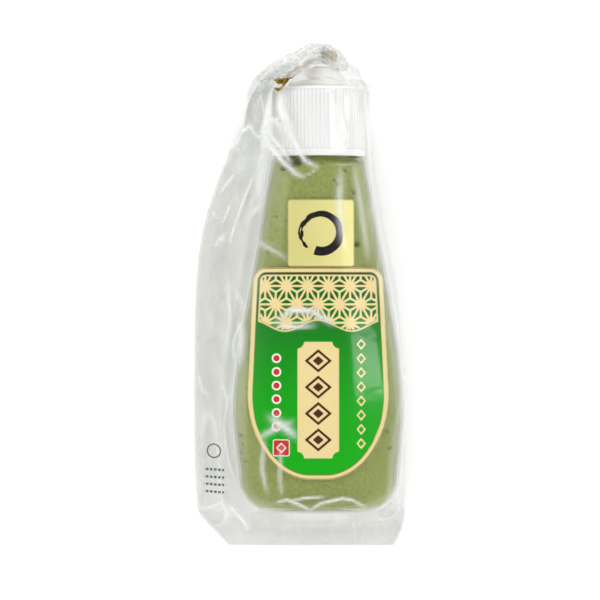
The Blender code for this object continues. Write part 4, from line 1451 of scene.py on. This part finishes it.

# %% [markdown]
# ## Creases
#
# A few long creases catch the light on such a bag, and noise would never put them in a likely place. They
# are listed one by one, each as a line of places with a height, a width and a whiteness. The whiteness is a
# painted highlight standing in for the lamps' glare along the crease, and the material reads it.

# %% Creases
# Height, width, whiteness of its painted highlight, then the places that the crease runs through, all in mm
CREASES = [
    (1.2, 0.45, 0.9, [(-17.6, 48.4), (-20.0, 42.0), (-24.5, 30.0), (-27.8, 22.0)]),
    (1.6, 1.5, 1.0, [(-6.5, 81.6), (-6.8, 75.2), (-4.6, 68.4), (-3.0, 64.0)]),
    (1.4, 0.7, 1.0, [(-5.5, 72.0), (-3.0, 64.0), (-0.6, 58.0), (2.0, 53.4), (6.6, 51.0)]),
    (1.5, 0.8, 1.0, [(-16.6, 68.2), (-13.6, 65.0), (-11.2, 60.4), (-6.4, 53.2), (-1.6, 48.4), (1.4, 47.0)]),
    (1.0, 0.6, 0.9, [(-14.0, 68.5), (-10.0, 62.5), (-6.0, 57.0), (-3.4, 52.0)]),
    (1.0, 0.7, 0.9, [(-12.4, 71.8), (-9.5, 69.6), (-6.4, 66.4)]),
    (0.9, 0.6, 0.8, [(-15.0, 66.0), (-11.0, 68.4), (-7.0, 71.0)]),
    (0.3, 0.35, 0.3, [(1.2, 47.2), (4.6, 48.8), (7.4, 50.8)]),
    (0.5, 1.1, 0.55, [(14.6, 80.5), (16.6, 70.0), (18.8, 58.6)]),
    (1.0, 0.45, 0.9, [(-31.5, 42.0), (-28.0, 46.5), (-26.0, 49.0)]),
    (0.9, 0.35, 0.9, [(-33.5, 20.0), (-32.4, 22.4), (-29.0, 24.0)]),
    (0.9, 0.35, 0.8, [(-30.6, 29.5), (-28.8, 33.6), (-27.6, 37.0)]),
    (0.6, 0.5, 0.5, [(-38.5, 35.0), (-35.0, 34.0), (-33.0, 31.5)]),
    (1.1, 1.0, 0.7, [(-31.0, 55.0), (-26.0, 61.0), (-22.0, 66.0)]),
    (0.8, 0.9, 0.6, [(-20.5, 66.0), (-20.0, 72.0), (-19.0, 78.0)]),
    (0.5, 0.8, 0.35, [(-20.0, 24.0), (-14.0, 20.0), (-8.0, 16.5), (-5.0, 14.6)]),
    (0.6, 1.4, 0.45, [(-24.0, -6.0), (-22.6, -16.0), (-23.4, -28.0)]),
    (0.5, 1.0, 0.4, [(-29.0, 6.0), (-27.0, -8.0), (-28.0, -24.0)]),
    (0.5, 0.6, 0.4, [(-41.0, -30.0), (-38.5, -38.0), (-35.5, -41.0)]),
    (1.0, 0.5, 0.8, [(-41.0, -86.0), (-35.0, -85.0), (-29.5, -82.4)]),
    (1.0, 0.5, 0.8, [(-29.4, -82.6), (-29.0, -88.0), (-31.6, -92.5), (-37.0, -93.0)]),
    (1.0, 0.5, 0.9, [(-28.0, -83.6), (-24.0, -88.4), (-21.6, -92.6), (-21.0, -95.0)]),
    (0.5, 0.8, 0.4, [(-14.0, -56.0), (-15.0, -68.0), (-13.0, -78.0)]),
    (0.5, 0.7, 0.35, [(-7.5, -60.0), (-8.0, -72.0), (-7.0, -79.0)]),
    (0.8, 0.4, 1.0, [(-9.4, -81.6), (-5.0, -80.6), (0.0, -82.6), (4.0, -84.8)]),
    (0.8, 0.4, 1.0, [(4.0, -84.8), (8.0, -82.0), (16.8, -80.0), (21.0, -80.8), (25.6, -83.6)]),
    (0.7, 0.35, 0.9, [(-3.0, -80.8), (3.0, -79.6), (10.0, -79.4)]),
    (0.5, 0.9, 0.8, [(-9.0, -9.5), (-3.0, -5.6), (5.0, -6.2), (13.0, -11.0)]),
    (0.4, 0.7, 0.7, [(-10.0, -11.6), (-2.0, -12.0), (6.0, -11.6)]),
    (0.5, 1.3, 0.7, [(-12.0, -48.0), (-7.0, -51.0), (-1.5, -55.5)]),
    (0.4, 0.9, 0.6, [(-16.0, -56.0), (-9.0, -52.0), (-3.0, -49.5)]),
    (0.5, 1.3, 0.4, [(16.0, 50.0), (15.4, 36.0), (17.0, 20.0)]),
    (0.4, 1.0, 0.3, [(21.0, 52.0), (24.0, 34.0), (27.0, 14.0)]),
]
# A painted highlight along the bag's side folds: its whiteness, and how far in from the fold it fades, in mm
EDGE_PAINTED_HIGHLIGHT = 0.4
EDGE_PAINTED_HIGHLIGHT_WIDTH = 1.8


def near_line(x, y, line):
    """Distance from points to a line through places, with a taper at its ends."""
    best = np.full(len(x), FAR)
    run = 0.0
    total = sum(math.dist(a, b) for a, b in zip(line, line[1:]))
    share = np.zeros(len(x))
    for (ax, ay), (bx, by) in zip(line, line[1:]):
        length = math.dist((ax, ay), (bx, by))
        t = np.clip(((x - ax) * (bx - ax) + (y - ay) * (by - ay)) / length ** 2, 0, 1)
        away = np.hypot(x - ax - t * (bx - ax), y - ay - t * (by - ay))
        nearer = away < best
        best = np.where(nearer, away, best)
        share = np.where(nearer, (run + t * length) / total, share)
        run += length
    return best, np.sin(math.pi * np.clip(share, 0.02, 0.98)) ** 0.5


def folded_film():
    """How far each point is lifted by crumpling and creases, and how white it is there, as painted highlight.
    """
    rise = (WAVE_HEIGHT * loose + TIGHT_HEIGHT) * soft
    rise += BIG_HEIGHT * loose * big ** 3 + SMALL_HEIGHT * loose * small ** 4
    lift = rise * ease(0.0, EDGE_FADE, fold_edge) * np.where(film.upper, 1.0, UNDERSIDE_SHARE)
    # White on ridge tops, along the side folds and along the creases is a painted highlight, in place of the
    # lamps' glare
    white = np.clip(0.25 * big ** 10 + 0.12 * small ** 12, 0, 1) * loose
    white = np.maximum(white, EDGE_PAINTED_HIGHLIGHT * np.exp(-np.maximum(fold_edge, 0.0) / EDGE_PAINTED_HIGHLIGHT_WIDTH))
    for height, breadth, painted_glare, line in CREASES:
        away, taper = near_line(film.x, film.y, line)
        bump = np.exp(-((away / breadth) ** 1.5)) * taper * film.upper
        lift += height * bump
        white = np.maximum(white, painted_glare * bump)
    return lift, white


film_lift, crease_painted_highlight = folded_film()
print("highest crease in mm:", round(float(film_lift.max()), 2))

# %% [markdown]
# ## Pleats at the neck
#
# Gathered film has too much width for its neck, so it folds into pleats that deepen towards the tie. Pushing
# each ring out from its middle by a wave does that, and keeps every point on its own side of the bag.
#
# Where many layers lie over each other they look grey, because each takes some of the light. That is at the
# left of the caps and above the cap's left shoulder. In the tent of film beside the bottle the grey is a
# painted shadow, where the bottle shades the film. Two masks say where, and the film over the small cap is
# kept clearer, because it is a single tight layer.

# %% Pleats and layers
PLEATS_START = 52.0
PLEAT_DEPTH = 0.14
PLEAT_COUNT = 13
PLEAT_DRIFT = 0.35
FILM_FLOOR = 0.35
GATHER_START = (44.0, 70.0)
BESIDE_CAPS = (-8.5, -11.5)
ABOVE_CAP = (84.5, 87.5)
ABOVE_CAP_SIDE = (3.0, -5.0)
# Where the painted shadow beside the bottle lies: its middle and width out from the bottle's side in mm, and
# its fades along the bag
SHADOW_MIDDLE = 2.5
SHADOW_FADE = (80.0, 50.0)
SHADOW_START = (BASE_Y, BASE_Y + 20.0)
# The single layer over the small cap, between these edges along and across
CLEAR_SPANS = ((80.0, 84.0), (97.0, 94.0)), ((-5.0, -2.0), (20.0, 17.0))


def pleated():
    """The points of the finished film."""
    share = np.clip((film.y - PLEATS_START) / (NECK_Y - PLEATS_START), 0.0, 1.0)
    turn = np.tile(np.arange(RING_POINTS) / RING_POINTS, film.rings)
    pleat = 0.5 - 0.5 * np.cos(TURN * (PLEAT_COUNT * turn + PLEAT_DRIFT * np.sin(TURN * 2 * turn)))
    push = 1.0 + PLEAT_DEPTH * share ** 2 * pleat
    x = film.middle + (film.x - film.middle) * push + film.out_x * film_lift
    z = AXIS_Z + (film.z - slack_sag() - AXIS_Z) * push + film.out_z * film_lift
    return np.stack([x, film.y, np.maximum(z, FILM_FLOOR)], axis=1)


def layers_and_painted_shadow():
    """Where gathered layers look grey, and where the painted shadow beside the bottle lies, from 0 to 1."""
    above = ease(*ABOVE_CAP, film.y) * ease(*ABOVE_CAP_SIDE, film.x)
    gather = ease(*GATHER_START, film.y) * np.maximum(ease(*BESIDE_CAPS, film.x), above) * film.upper
    # Painted shadow: a grey band in the film just left of the bottle, where the bottle shades it
    past = AXIS_X - film.half - film.x
    painted_shadow = np.exp(-((past - SHADOW_MIDDLE) / SHADOW_MIDDLE) ** 2)
    painted_shadow = painted_shadow * ease(*SHADOW_FADE, film.y) * ease(*SHADOW_START, film.y) * film.upper
    return gather, painted_shadow


def scatter_and_painted_light():
    """How much light the film scatters at each point and how grey that is, with painted highlight and shadow
    in it.
    """
    gather, painted_shadow = layers_and_painted_shadow()
    white = np.maximum(crease_painted_highlight, 0.9 * gather * (0.35 + 0.65 * soft))
    white = np.maximum(white, 0.4 * painted_shadow)
    clear = 1.0
    for spans, places in zip(CLEAR_SPANS, (film.y, film.x)):
        for span in spans:
            clear = clear * ease(*span, places)
    white = white * (1.0 - 0.7 * clear) - 0.2 * clear
    # Grey is taken off ridge tops as painted highlight, and laid in the tent as painted shadow
    return white, np.clip(np.maximum(gather, painted_shadow) - 2.0 * big ** 8 - 1.5 * small ** 8, 0.0, 1.0)


outer_skin = pleated()
film_white_and_painted_light, film_grey_and_painted_shadow = scatter_and_painted_light()
print("greyest point:", round(float(film_grey_and_painted_shadow.max()), 2))

# %% [markdown]
# ## Film material
#
# Cast polypropylene film is nearly invisible face on and mirrors the lamps where it turns away. Each layer
# takes a few parts in a hundred of the light and scatters it. More white is painted along creases, ridges and
# side folds as a painted highlight, and grey where layers lie over each other and as a painted shadow beside
# the bottle. A clear shader is mixed with a faint white one, and a sharp gloss comes in towards grazing
# angles in the way that any clear plastic does.
#
# The bag has a little plain print at its lower left: a ring over four rows of dashes. The grid of points is
# too coarse for it, so the material works it out from the place, in millimetres, with a chain of maths nodes.

# %% Print on the film
PRINT_PLACE = (34.6, 62.2, 0.0)
# Each step of the print's maths: its name, its operation, and two numbers or names of earlier steps
PRINT_STEPS = [
    ("off the ring", "SUBTRACT", "away", 2.7),
    ("from the ring", "ABSOLUTE", "off the ring", 0.0),
    ("ring", "LESS_THAN", "from the ring", 0.28),
    ("dash places", "DIVIDE", "x", 1.7),
    ("in each dash", "FRACT", "dash places", 0.0),
    ("dashes", "LESS_THAN", "in each dash", 0.66),
    ("row places", "DIVIDE", "y", 3.0),
    ("in each row", "FRACT", "row places", 0.0),
    ("off the row", "SUBTRACT", "in each row", 0.5),
    ("from the row", "ABSOLUTE", "off the row", 0.0),
    ("rows", "LESS_THAN", "from the row", 0.16),
    ("under the ring", "LESS_THAN", "y", -6.0),
    ("over the end", "GREATER_THAN", "y", -18.0),
    ("from the middle", "ABSOLUTE", "x", 0.0),
    ("in the column", "LESS_THAN", "from the middle", 4.2),
    ("dashed rows", "MULTIPLY", "dashes", "rows"),
    ("lower rows", "MULTIPLY", "dashed rows", "under the ring"),
    ("four rows", "MULTIPLY", "lower rows", "over the end"),
    ("block", "MULTIPLY", "four rows", "in the column"),
    ("print", "MAXIMUM", "block", "ring"),
    ("ink strength", "MULTIPLY", "printed side", 0.8),
    ("ink", "MULTIPLY", "print", "ink strength"),
]


def film_print(tree, place):
    """Mask of the small print on the film: a plain ring over four rows of dashes."""
    scale = (1 / MM, 1 / MM, 0.0)
    local = add_node(tree, "ShaderNodeVectorMath", {0: place, 1: scale, 2: PRINT_PLACE},
                     operation="MULTIPLY_ADD").outputs[0]
    parts = add_node(tree, "ShaderNodeSeparateXYZ", {0: local})
    away = add_node(tree, "ShaderNodeVectorMath", {0: local}, operation="LENGTH")
    printed = add_node(tree, "ShaderNodeAttribute", attribute_name="printed")
    values = {"x": parts.outputs["X"], "y": parts.outputs["Y"], "away": away.outputs["Value"],
              "printed side": printed.outputs["Fac"]}
    for name, operation, first, second in PRINT_STEPS:
        inputs = {0: values.get(first, first), 1: values.get(second, second)}
        values[name] = add_node(tree, "ShaderNodeMath", inputs, operation=operation).outputs[0]
    return values["ink"]


print("steps in the film's print:", len(PRINT_STEPS))

# %% Film material


def make_film_material():
    """Cast polypropylene film: clear, with a sharp mirror gloss, painted highlight along its creases and
    painted shadow beside the bottle.
    """
    made, tree, out = new_material("cast polypropylene film")
    place = add_node(tree, "ShaderNodeTexCoord").outputs["Object"]
    # The chilled roller leaves the skin uneven over about 5 mm, which makes the mirrored lamps ripple
    fine = add_node(tree, "ShaderNodeTexNoise", {"Vector": place, "Scale": 1 / (5 * MM), "Detail": 3.0})
    bump = add_node(tree, "ShaderNodeBump", {
        "Height": fine.outputs[0], "Strength": 0.15, "Distance": 0.5 * MM})
    skin = bump.outputs[0]
    facing = add_node(tree, "ShaderNodeLayerWeight", {"Blend": 0.5, "Normal": skin}).outputs["Facing"]
    steep = add_node(tree, "ShaderNodeMath", {0: facing, 1: 5.0}, operation="POWER")
    mirror = add_node(tree, "ShaderNodeMapRange", {"Value": steep.outputs[0], "To Min": 0.022, "To Max": 0.9})
    turned_away = add_node(tree, "ShaderNodeMath", {0: facing, 1: 2.0}, operation="POWER")
    haze = add_node(tree, "ShaderNodeMapRange", {
        "Value": turned_away.outputs[0], "To Min": 0.002, "To Max": 0.2})
    # The stored fold value is white scatter, largely painted highlight; the stored grey value is the grey of
    # stacked layers and painted shadow
    fold = add_node(tree, "ShaderNodeAttribute", attribute_name="fold").outputs["Fac"]
    scatter_and_painted_highlight = add_node(tree, "ShaderNodeMath", {
        0: fold, 1: 0.8, 2: haze.outputs[0]}, operation="MULTIPLY_ADD")
    grey = add_node(tree, "ShaderNodeAttribute", attribute_name="grey").outputs["Fac"]
    scatter = layered(tree, linear("f0f2ef"), [(grey, linear("bcbfba"))])
    clear = add_node(tree, "ShaderNodeBsdfTransparent", {"Color": linear("fdfdfd")})
    white = add_node(tree, "ShaderNodeBsdfDiffuse", {"Color": scatter, "Normal": skin})
    veil = add_node(tree, "ShaderNodeMixShader", {
        0: scatter_and_painted_highlight.outputs[0], 1: clear.outputs[0], 2: white.outputs[0]})
    gloss = add_node(tree, "ShaderNodeBsdfAnisotropic", {
        "Color": linear("ffffff"), "Roughness": 0.12, "Normal": skin})
    sheet = add_node(tree, "ShaderNodeMixShader", {
        0: mirror.outputs[0], 1: veil.outputs[0], 2: gloss.outputs[0]})
    ink = add_node(tree, "ShaderNodeBsdfDiffuse", {"Color": linear("3c3f3d")})
    marked = add_node(tree, "ShaderNodeMixShader", {
        0: film_print(tree, place), 1: sheet.outputs[0], 2: ink.outputs[0]})
    tree.links.new(marked.outputs[0], out.inputs[0])
    return made


film_material = make_film_material()
print("material:", film_material.name)

# %% [markdown]
# ## Bag piece
#
# Real film is 0.05 mm thick. It is given 0.1 mm here, as two skins with all their faces outwards, because a
# single sheet would have an inside and an outside that a renderer treats differently. The skins are joined
# round the mouth, and each is closed across the flat foot where the bag is sealed.

# %% Bag piece
FILM_THICK = 0.1


def inner_skin():
    """The finished film moved inwards by its thickness."""
    grid = outer_skin.reshape(film.rings, RING_POINTS, 3)
    round_ring = np.roll(grid, -1, axis=1) - np.roll(grid, 1, axis=1)
    normal = np.cross(round_ring, np.gradient(grid, axis=0))
    normal /= np.maximum(np.linalg.norm(normal, axis=2, keepdims=True), 1e-9)
    out = np.stack([film.out_x, np.zeros(len(film.x)), film.out_z], axis=1)
    side = np.sign(np.sum(normal * out.reshape(film.rings, RING_POINTS, 3)))
    return (grid - normal * side * FILM_THICK).reshape(-1, 3)


def foot_faces(shift, turn):
    """Faces across the flat foot of one skin, from its upper points to its fewer lower ones."""
    faces = []
    for k in range(LOWER):
        upper = [shift + 2 * k, shift + 2 * k + 1, shift + 2 * k + 2]
        lower = [shift + RING_POINTS - k - 1, shift + RING_POINTS - k]
        if k == 0:
            lower.pop()
        if k == LOWER - 1:
            lower = lower[1:]
        faces.append(tuple((upper + lower)[::-turn]))
    return faces


def make_film_bag():
    """Outer and inner skins a film's thickness apart, joined at the mouth and sealed at the foot."""
    points = np.concatenate([outer_skin, inner_skin()])
    points[:, 1] = np.clip(points[:, 1], -MOUTH_Y, MOUTH_Y)
    size = len(outer_skin)
    faces = []
    for shift, turn in ((0, 1), (size, -1)):
        walls = loft_faces(film.rings, RING_POINTS, fill_ends=False)
        faces += [tuple(shift + v for v in face[::turn]) for face in walls]
        faces += foot_faces(shift, turn)
    last = size - RING_POINTS
    for i in range(RING_POINTS):
        j = (i + 1) % RING_POINTS
        faces.append((last + i, last + j, size + last + j, size + last + i))
    piece = make_piece("film_bag", points, faces, film_material, ["bag"])
    face_outwards(piece)
    store(piece, "fold", np.tile(film_white_and_painted_light, 2))
    store(piece, "grey", np.tile(film_grey_and_painted_shadow, 2))
    store(piece, "printed", np.concatenate([film.upper.astype(float), np.zeros(size)]))


make_film_bag()

# %% [markdown]
# ## Film past the tie
#
# Past the tie the gathered mouth of the bag opens again into crumpled folds. They bend over to the left and
# lie on the tie's twisted ends, with a shorter lobe at the right. Each lobe is a flattened, pleated tube
# that follows a curved path. Its layers lie over each other, so it is whiter and greyer than the bag, and it
# thins out towards its end.

# %% Film past the tie
# Each lobe: places along its path, half widths along it in mm, and a seed
LOBES = [
    ([(9.3, 96.0, 23.0), (8.8, 97.2, 28.0), (5.4, 96.1, 35.5), (0.4, 92.9, 40.4), (-4.8, 90.7, 41.2),
      (-9.6, 88.8, 39.0), (-13.8, 86.0, 35.0), (-17.4, 82.4, 30.0), (-19.6, 78.4, 25.6)],
     [2.2, 3.2, 4.4, 4.6, 4.2, 3.8, 3.4, 2.8, 1.6], 2.0),
    ([(9.5, 96.0, 23.0), (9.4, 97.2, 27.4), (11.0, 96.0, 31.2), (13.8, 94.6, 31.0), (16.6, 92.6, 28.0),
      (18.0, 90.8, 25.6)], [2.2, 3.2, 3.9, 3.6, 2.8, 1.6], 9.0),
]
LOBE_RINGS = 90
LOBE_ACROSS = 46
LOBE_PLEATS = 4.6
LOBE_THICK = 0.55
LOBE_FULLNESS = 0.35
PLEAT_HEIGHT = 0.9
CRUMPLE_HEIGHT = 1.1
RAGGED = 0.12


def smooth_path(places, count):
    """A curve through places, with its value at even shares of its length."""
    places = np.array(places, float).reshape(len(places), -1)
    at = np.linspace(0.0, 1.0, len(places))
    return smooth_between(np.column_stack([at, places]), np.linspace(0.0, 1.0, count))


def lobe_wave(share, t, seed):
    """Height of the pleats and the crumpling across a lobe, at a share t of its length."""
    drift = noise.noise(Vector((t * 3.0, seed, 0.0)))
    phase = share * LOBE_PLEATS + 1.6 * drift + 0.5 * np.sin(5 * share + 9 * t + seed)
    pleat = np.abs(phase - np.round(phase)) * 2.0
    crumple = np.array([noise.noise(Vector((v * 3.0, t * 11.0, seed + 4.0))) for v in share])
    height = (0.35 + 0.65 * t ** 0.5) * (1 - 0.6 * share ** 2)
    return (pleat * PLEAT_HEIGHT + crumple * CRUMPLE_HEIGHT) * height


def lobe_rings(places, half_widths, seed):
    """Sections of a flattened pleated tube: its upper side out and back along its lower side."""
    centres = smooth_path(places, LOBE_RINGS)
    widths = smooth_path(half_widths, LOBE_RINGS)[:, 0]
    along = np.gradient(centres, axis=0)
    along /= np.linalg.norm(along, axis=1)[:, None]
    side = np.cross(along, (0.0, 0.0, 1.0))
    side /= np.maximum(np.linalg.norm(side, axis=1), 1e-6)[:, None]
    up = np.cross(side, along)
    share = np.linspace(-1.0, 1.0, LOBE_ACROSS)
    rim = np.sqrt(np.maximum(1 - share ** 2, 0.0))
    rings = []
    for k in range(LOBE_RINGS):
        t = k / (LOBE_RINGS - 1)
        wave = lobe_wave(share, t, seed)
        thick = LOBE_THICK + LOBE_FULLNESS * math.sin(math.pi * t)
        ragged = 1.0 + RAGGED * noise.noise(Vector((t * 9.0, seed, 8.0)))
        middle = centres[k] + np.outer(share * widths[k] * ragged, side[k])
        top = middle + np.outer(wave + thick * rim, up[k])
        bottom = middle + np.outer(wave * 0.6 - thick * rim, up[k])
        rings.append(np.concatenate([top, bottom[-2:0:-1]]))
    return rings


print("lobes:", len(LOBES), "of", LOBE_RINGS, "rings each")

# %% Ruffle


def make_ruffle():
    """Both lobes as one piece of the same film."""
    points, faces, fade = [], [], []
    for places, half_widths, seed in LOBES:
        rings = lobe_rings(places, half_widths, seed)
        base = sum(len(p) for p in points)
        faces += [tuple(base + v for v in face) for face in loft_faces(len(rings), len(rings[0]))]
        points.append(np.concatenate(rings))
        fade.append(1.0 - 0.85 * np.linspace(0.0, 1.0, len(points[-1])) ** 3)
    points, fade = np.concatenate(points), np.concatenate(fade)
    piece = make_piece("film_ruffle", points, faces, film_material)
    face_outwards(piece)
    grain = ridges(points, 3.0, 21.0)
    folds = waves(points, 5.0, 4.0)
    # Ridge tops of the grain are whiter and less grey as a painted highlight; the rest is the scatter and
    # grey of stacked layers
    store(piece, "fold", np.clip((0.32 + 0.42 * folds + 0.12 * grain ** 4) * fade, 0.0, 1.0))
    store(piece, "grey", np.clip(0.62 - grain ** 4, 0.0, 1.0))


make_ruffle()

# %% [markdown]
# ## Twist tie
#
# The tie is a narrow ribbon of gold foil with a wire sealed along its middle. It goes round the gathered
# neck, and its two ends are twisted together and bent down to the left. The ribbon is one section, thicker
# over the wire, swept along a path while it turns.

# %% Tie foil


def make_tie_foil():
    """Gold metallised foil over wire: crinkled, so its gloss is broken."""
    made, tree, out = new_material("gold tie foil")
    place = add_node(tree, "ShaderNodeTexCoord").outputs["Object"]
    crinkle = add_node(tree, "ShaderNodeTexNoise", {"Vector": place, "Scale": 1 / (0.9 * MM), "Detail": 2.0})
    tone = layered(tree, linear("a07a2c"), [(crinkle.outputs[0], linear("d8b65c"))])
    bump = add_node(tree, "ShaderNodeBump", {
        "Height": crinkle.outputs[0], "Strength": 0.6, "Distance": 0.3 * MM})
    shader = add_node(tree, "ShaderNodeBsdfPrincipled", {
        "Base Color": tone, "Metallic": 0.85, "Roughness": 0.34, "Normal": bump.outputs[0]})
    tree.links.new(shader.outputs[0], out.inputs[0])
    return made


tie_foil = make_tie_foil()
print("material:", tie_foil.name)

# %% Ribbon and tails
# Half of the ribbon's section, from edge to edge over the wire: share of its half width, and height in mm
RIBBON_SECTION = [(-1.0, 0.07), (-0.75, 0.09), (-0.45, 0.1), (-0.22, 0.3), (0.0, 0.38),
                  (0.22, 0.3), (0.45, 0.1), (0.75, 0.09), (1.0, 0.07)]
LOOP_STEPS = 72
LOOP_HALF_WIDTH = 1.9
TIE_CLEARANCE = 0.4
TAIL_STEPS = 90
TAIL_HALF_WIDTH = 1.5
TAIL_TURNS = 3.2
TAIL_BOW = 4.0
TAIL_SPREAD = 1.6
TAIL_END = (-9.6, 83.2, AXIS_Z + 17.0)


def ribbon(centres, wide, thin, half_width):
    """Rings of a ribbon's section at each centre, with its broad and thin directions given."""
    outline = RIBBON_SECTION + [(x, -h) for x, h in RIBBON_SECTION[::-1]]
    rings = []
    for centre, broad, narrow in zip(centres, wide, thin):
        rings.append([centre + broad * x * half_width + narrow * h for x, h in outline])
    return np.array(rings)


def tie_loop(reach):
    """The ribbon once round the neck."""
    angles = np.linspace(0.0, TURN, LOOP_STEPS, endpoint=False)
    around = np.stack([np.cos(angles), np.zeros(LOOP_STEPS), np.sin(angles)], axis=1)
    along = np.tile([0.0, 1.0, 0.0], (LOOP_STEPS, 1))
    return ribbon(np.array([TIE_X, NECK_Y, AXIS_Z]) + around * reach, along, around, LOOP_HALF_WIDTH)


def tie_tails(start, end):
    """The two ends, twisted about each other along a bowed line and spread apart at their tips."""
    line = (end - start) / np.linalg.norm(end - start)
    side = np.cross(line, (0.0, 0.0, 1.0))
    side /= np.linalg.norm(side)
    up = np.cross(side, line)
    t = np.linspace(0.0, 1.0, TAIL_STEPS)
    bowed = start + np.outer(t, end - start) + np.outer(TAIL_BOW * np.sin(math.pi * t), up)
    spread = 0.5 + TAIL_SPREAD * ease(0.75, 1.0, t)
    tails = []
    for phase in (0.0, math.pi):
        turn = TURN * TAIL_TURNS * t + phase
        radial = np.outer(np.cos(turn), side) + np.outer(np.sin(turn), up)
        broad = np.outer(-np.sin(turn), side) + np.outer(np.cos(turn), up)
        tails.append(ribbon(bowed + radial * spread[:, None], broad, radial, TAIL_HALF_WIDTH))
    return tails


print("points in the ribbon's section:", 2 * len(RIBBON_SECTION))

# %% Gold twist tie


def make_twist_tie():
    """One loop round the neck and two ends twisted about each other."""
    neck = film_ring(NECK_Y)
    gathered = float(np.max(np.hypot(neck[:, 0] - TIE_X, neck[:, 1] - AXIS_Z))) * (1 + PLEAT_DEPTH)
    reach = gathered + TIE_CLEARANCE
    loop = tie_loop(reach + 0.1)
    section = loop.shape[1]
    points = [loop.reshape(-1, 3)]
    faces = loft_faces(LOOP_STEPS, section, closed_path=True)
    start = np.array([TIE_X - reach * 0.5, NECK_Y - 0.2, AXIS_Z + reach * 0.87 + 1.0])
    for tail in tie_tails(start, np.array(TAIL_END)):
        base = sum(len(p) for p in points)
        points.append(tail.reshape(-1, 3))
        faces += [tuple(base + v for v in face) for face in loft_faces(TAIL_STEPS, section)]
    face_outwards(make_piece("gold_twist_tie", np.concatenate(points), faces, tie_foil,
                             ["twist_tie"]))


make_twist_tie()

# %% [markdown]
# ## Seal under the cap
#
# A foil disc closes the bottle's mouth until it is first opened. Its CAD solid has the right shape, so it
# stays and only gets a finish.

# %% Seal foil


def make_seal_foil():
    """Plain aluminium sealing foil, slightly crinkled by the cap."""
    made, tree, out = new_material("aluminium sealing foil")
    place = add_node(tree, "ShaderNodeTexCoord").outputs["Object"]
    crinkle = add_node(tree, "ShaderNodeTexNoise", {"Vector": place, "Scale": 1 / (2 * MM), "Detail": 2.0})
    bump = add_node(tree, "ShaderNodeBump", {
        "Height": crinkle.outputs[0], "Strength": 0.3, "Distance": 0.2 * MM})
    shader = add_node(tree, "ShaderNodeBsdfPrincipled", {
        "Base Color": linear("d4d6d8"), "Metallic": 1.0, "Roughness": 0.35, "Normal": bump.outputs[0]})
    tree.links.new(shader.outputs[0], out.inputs[0])
    return made


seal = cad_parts["mouth_seal"]
seal.data.materials.clear()
seal.data.materials.append(make_seal_foil())
print("seal finish:", seal.data.materials[0].name)
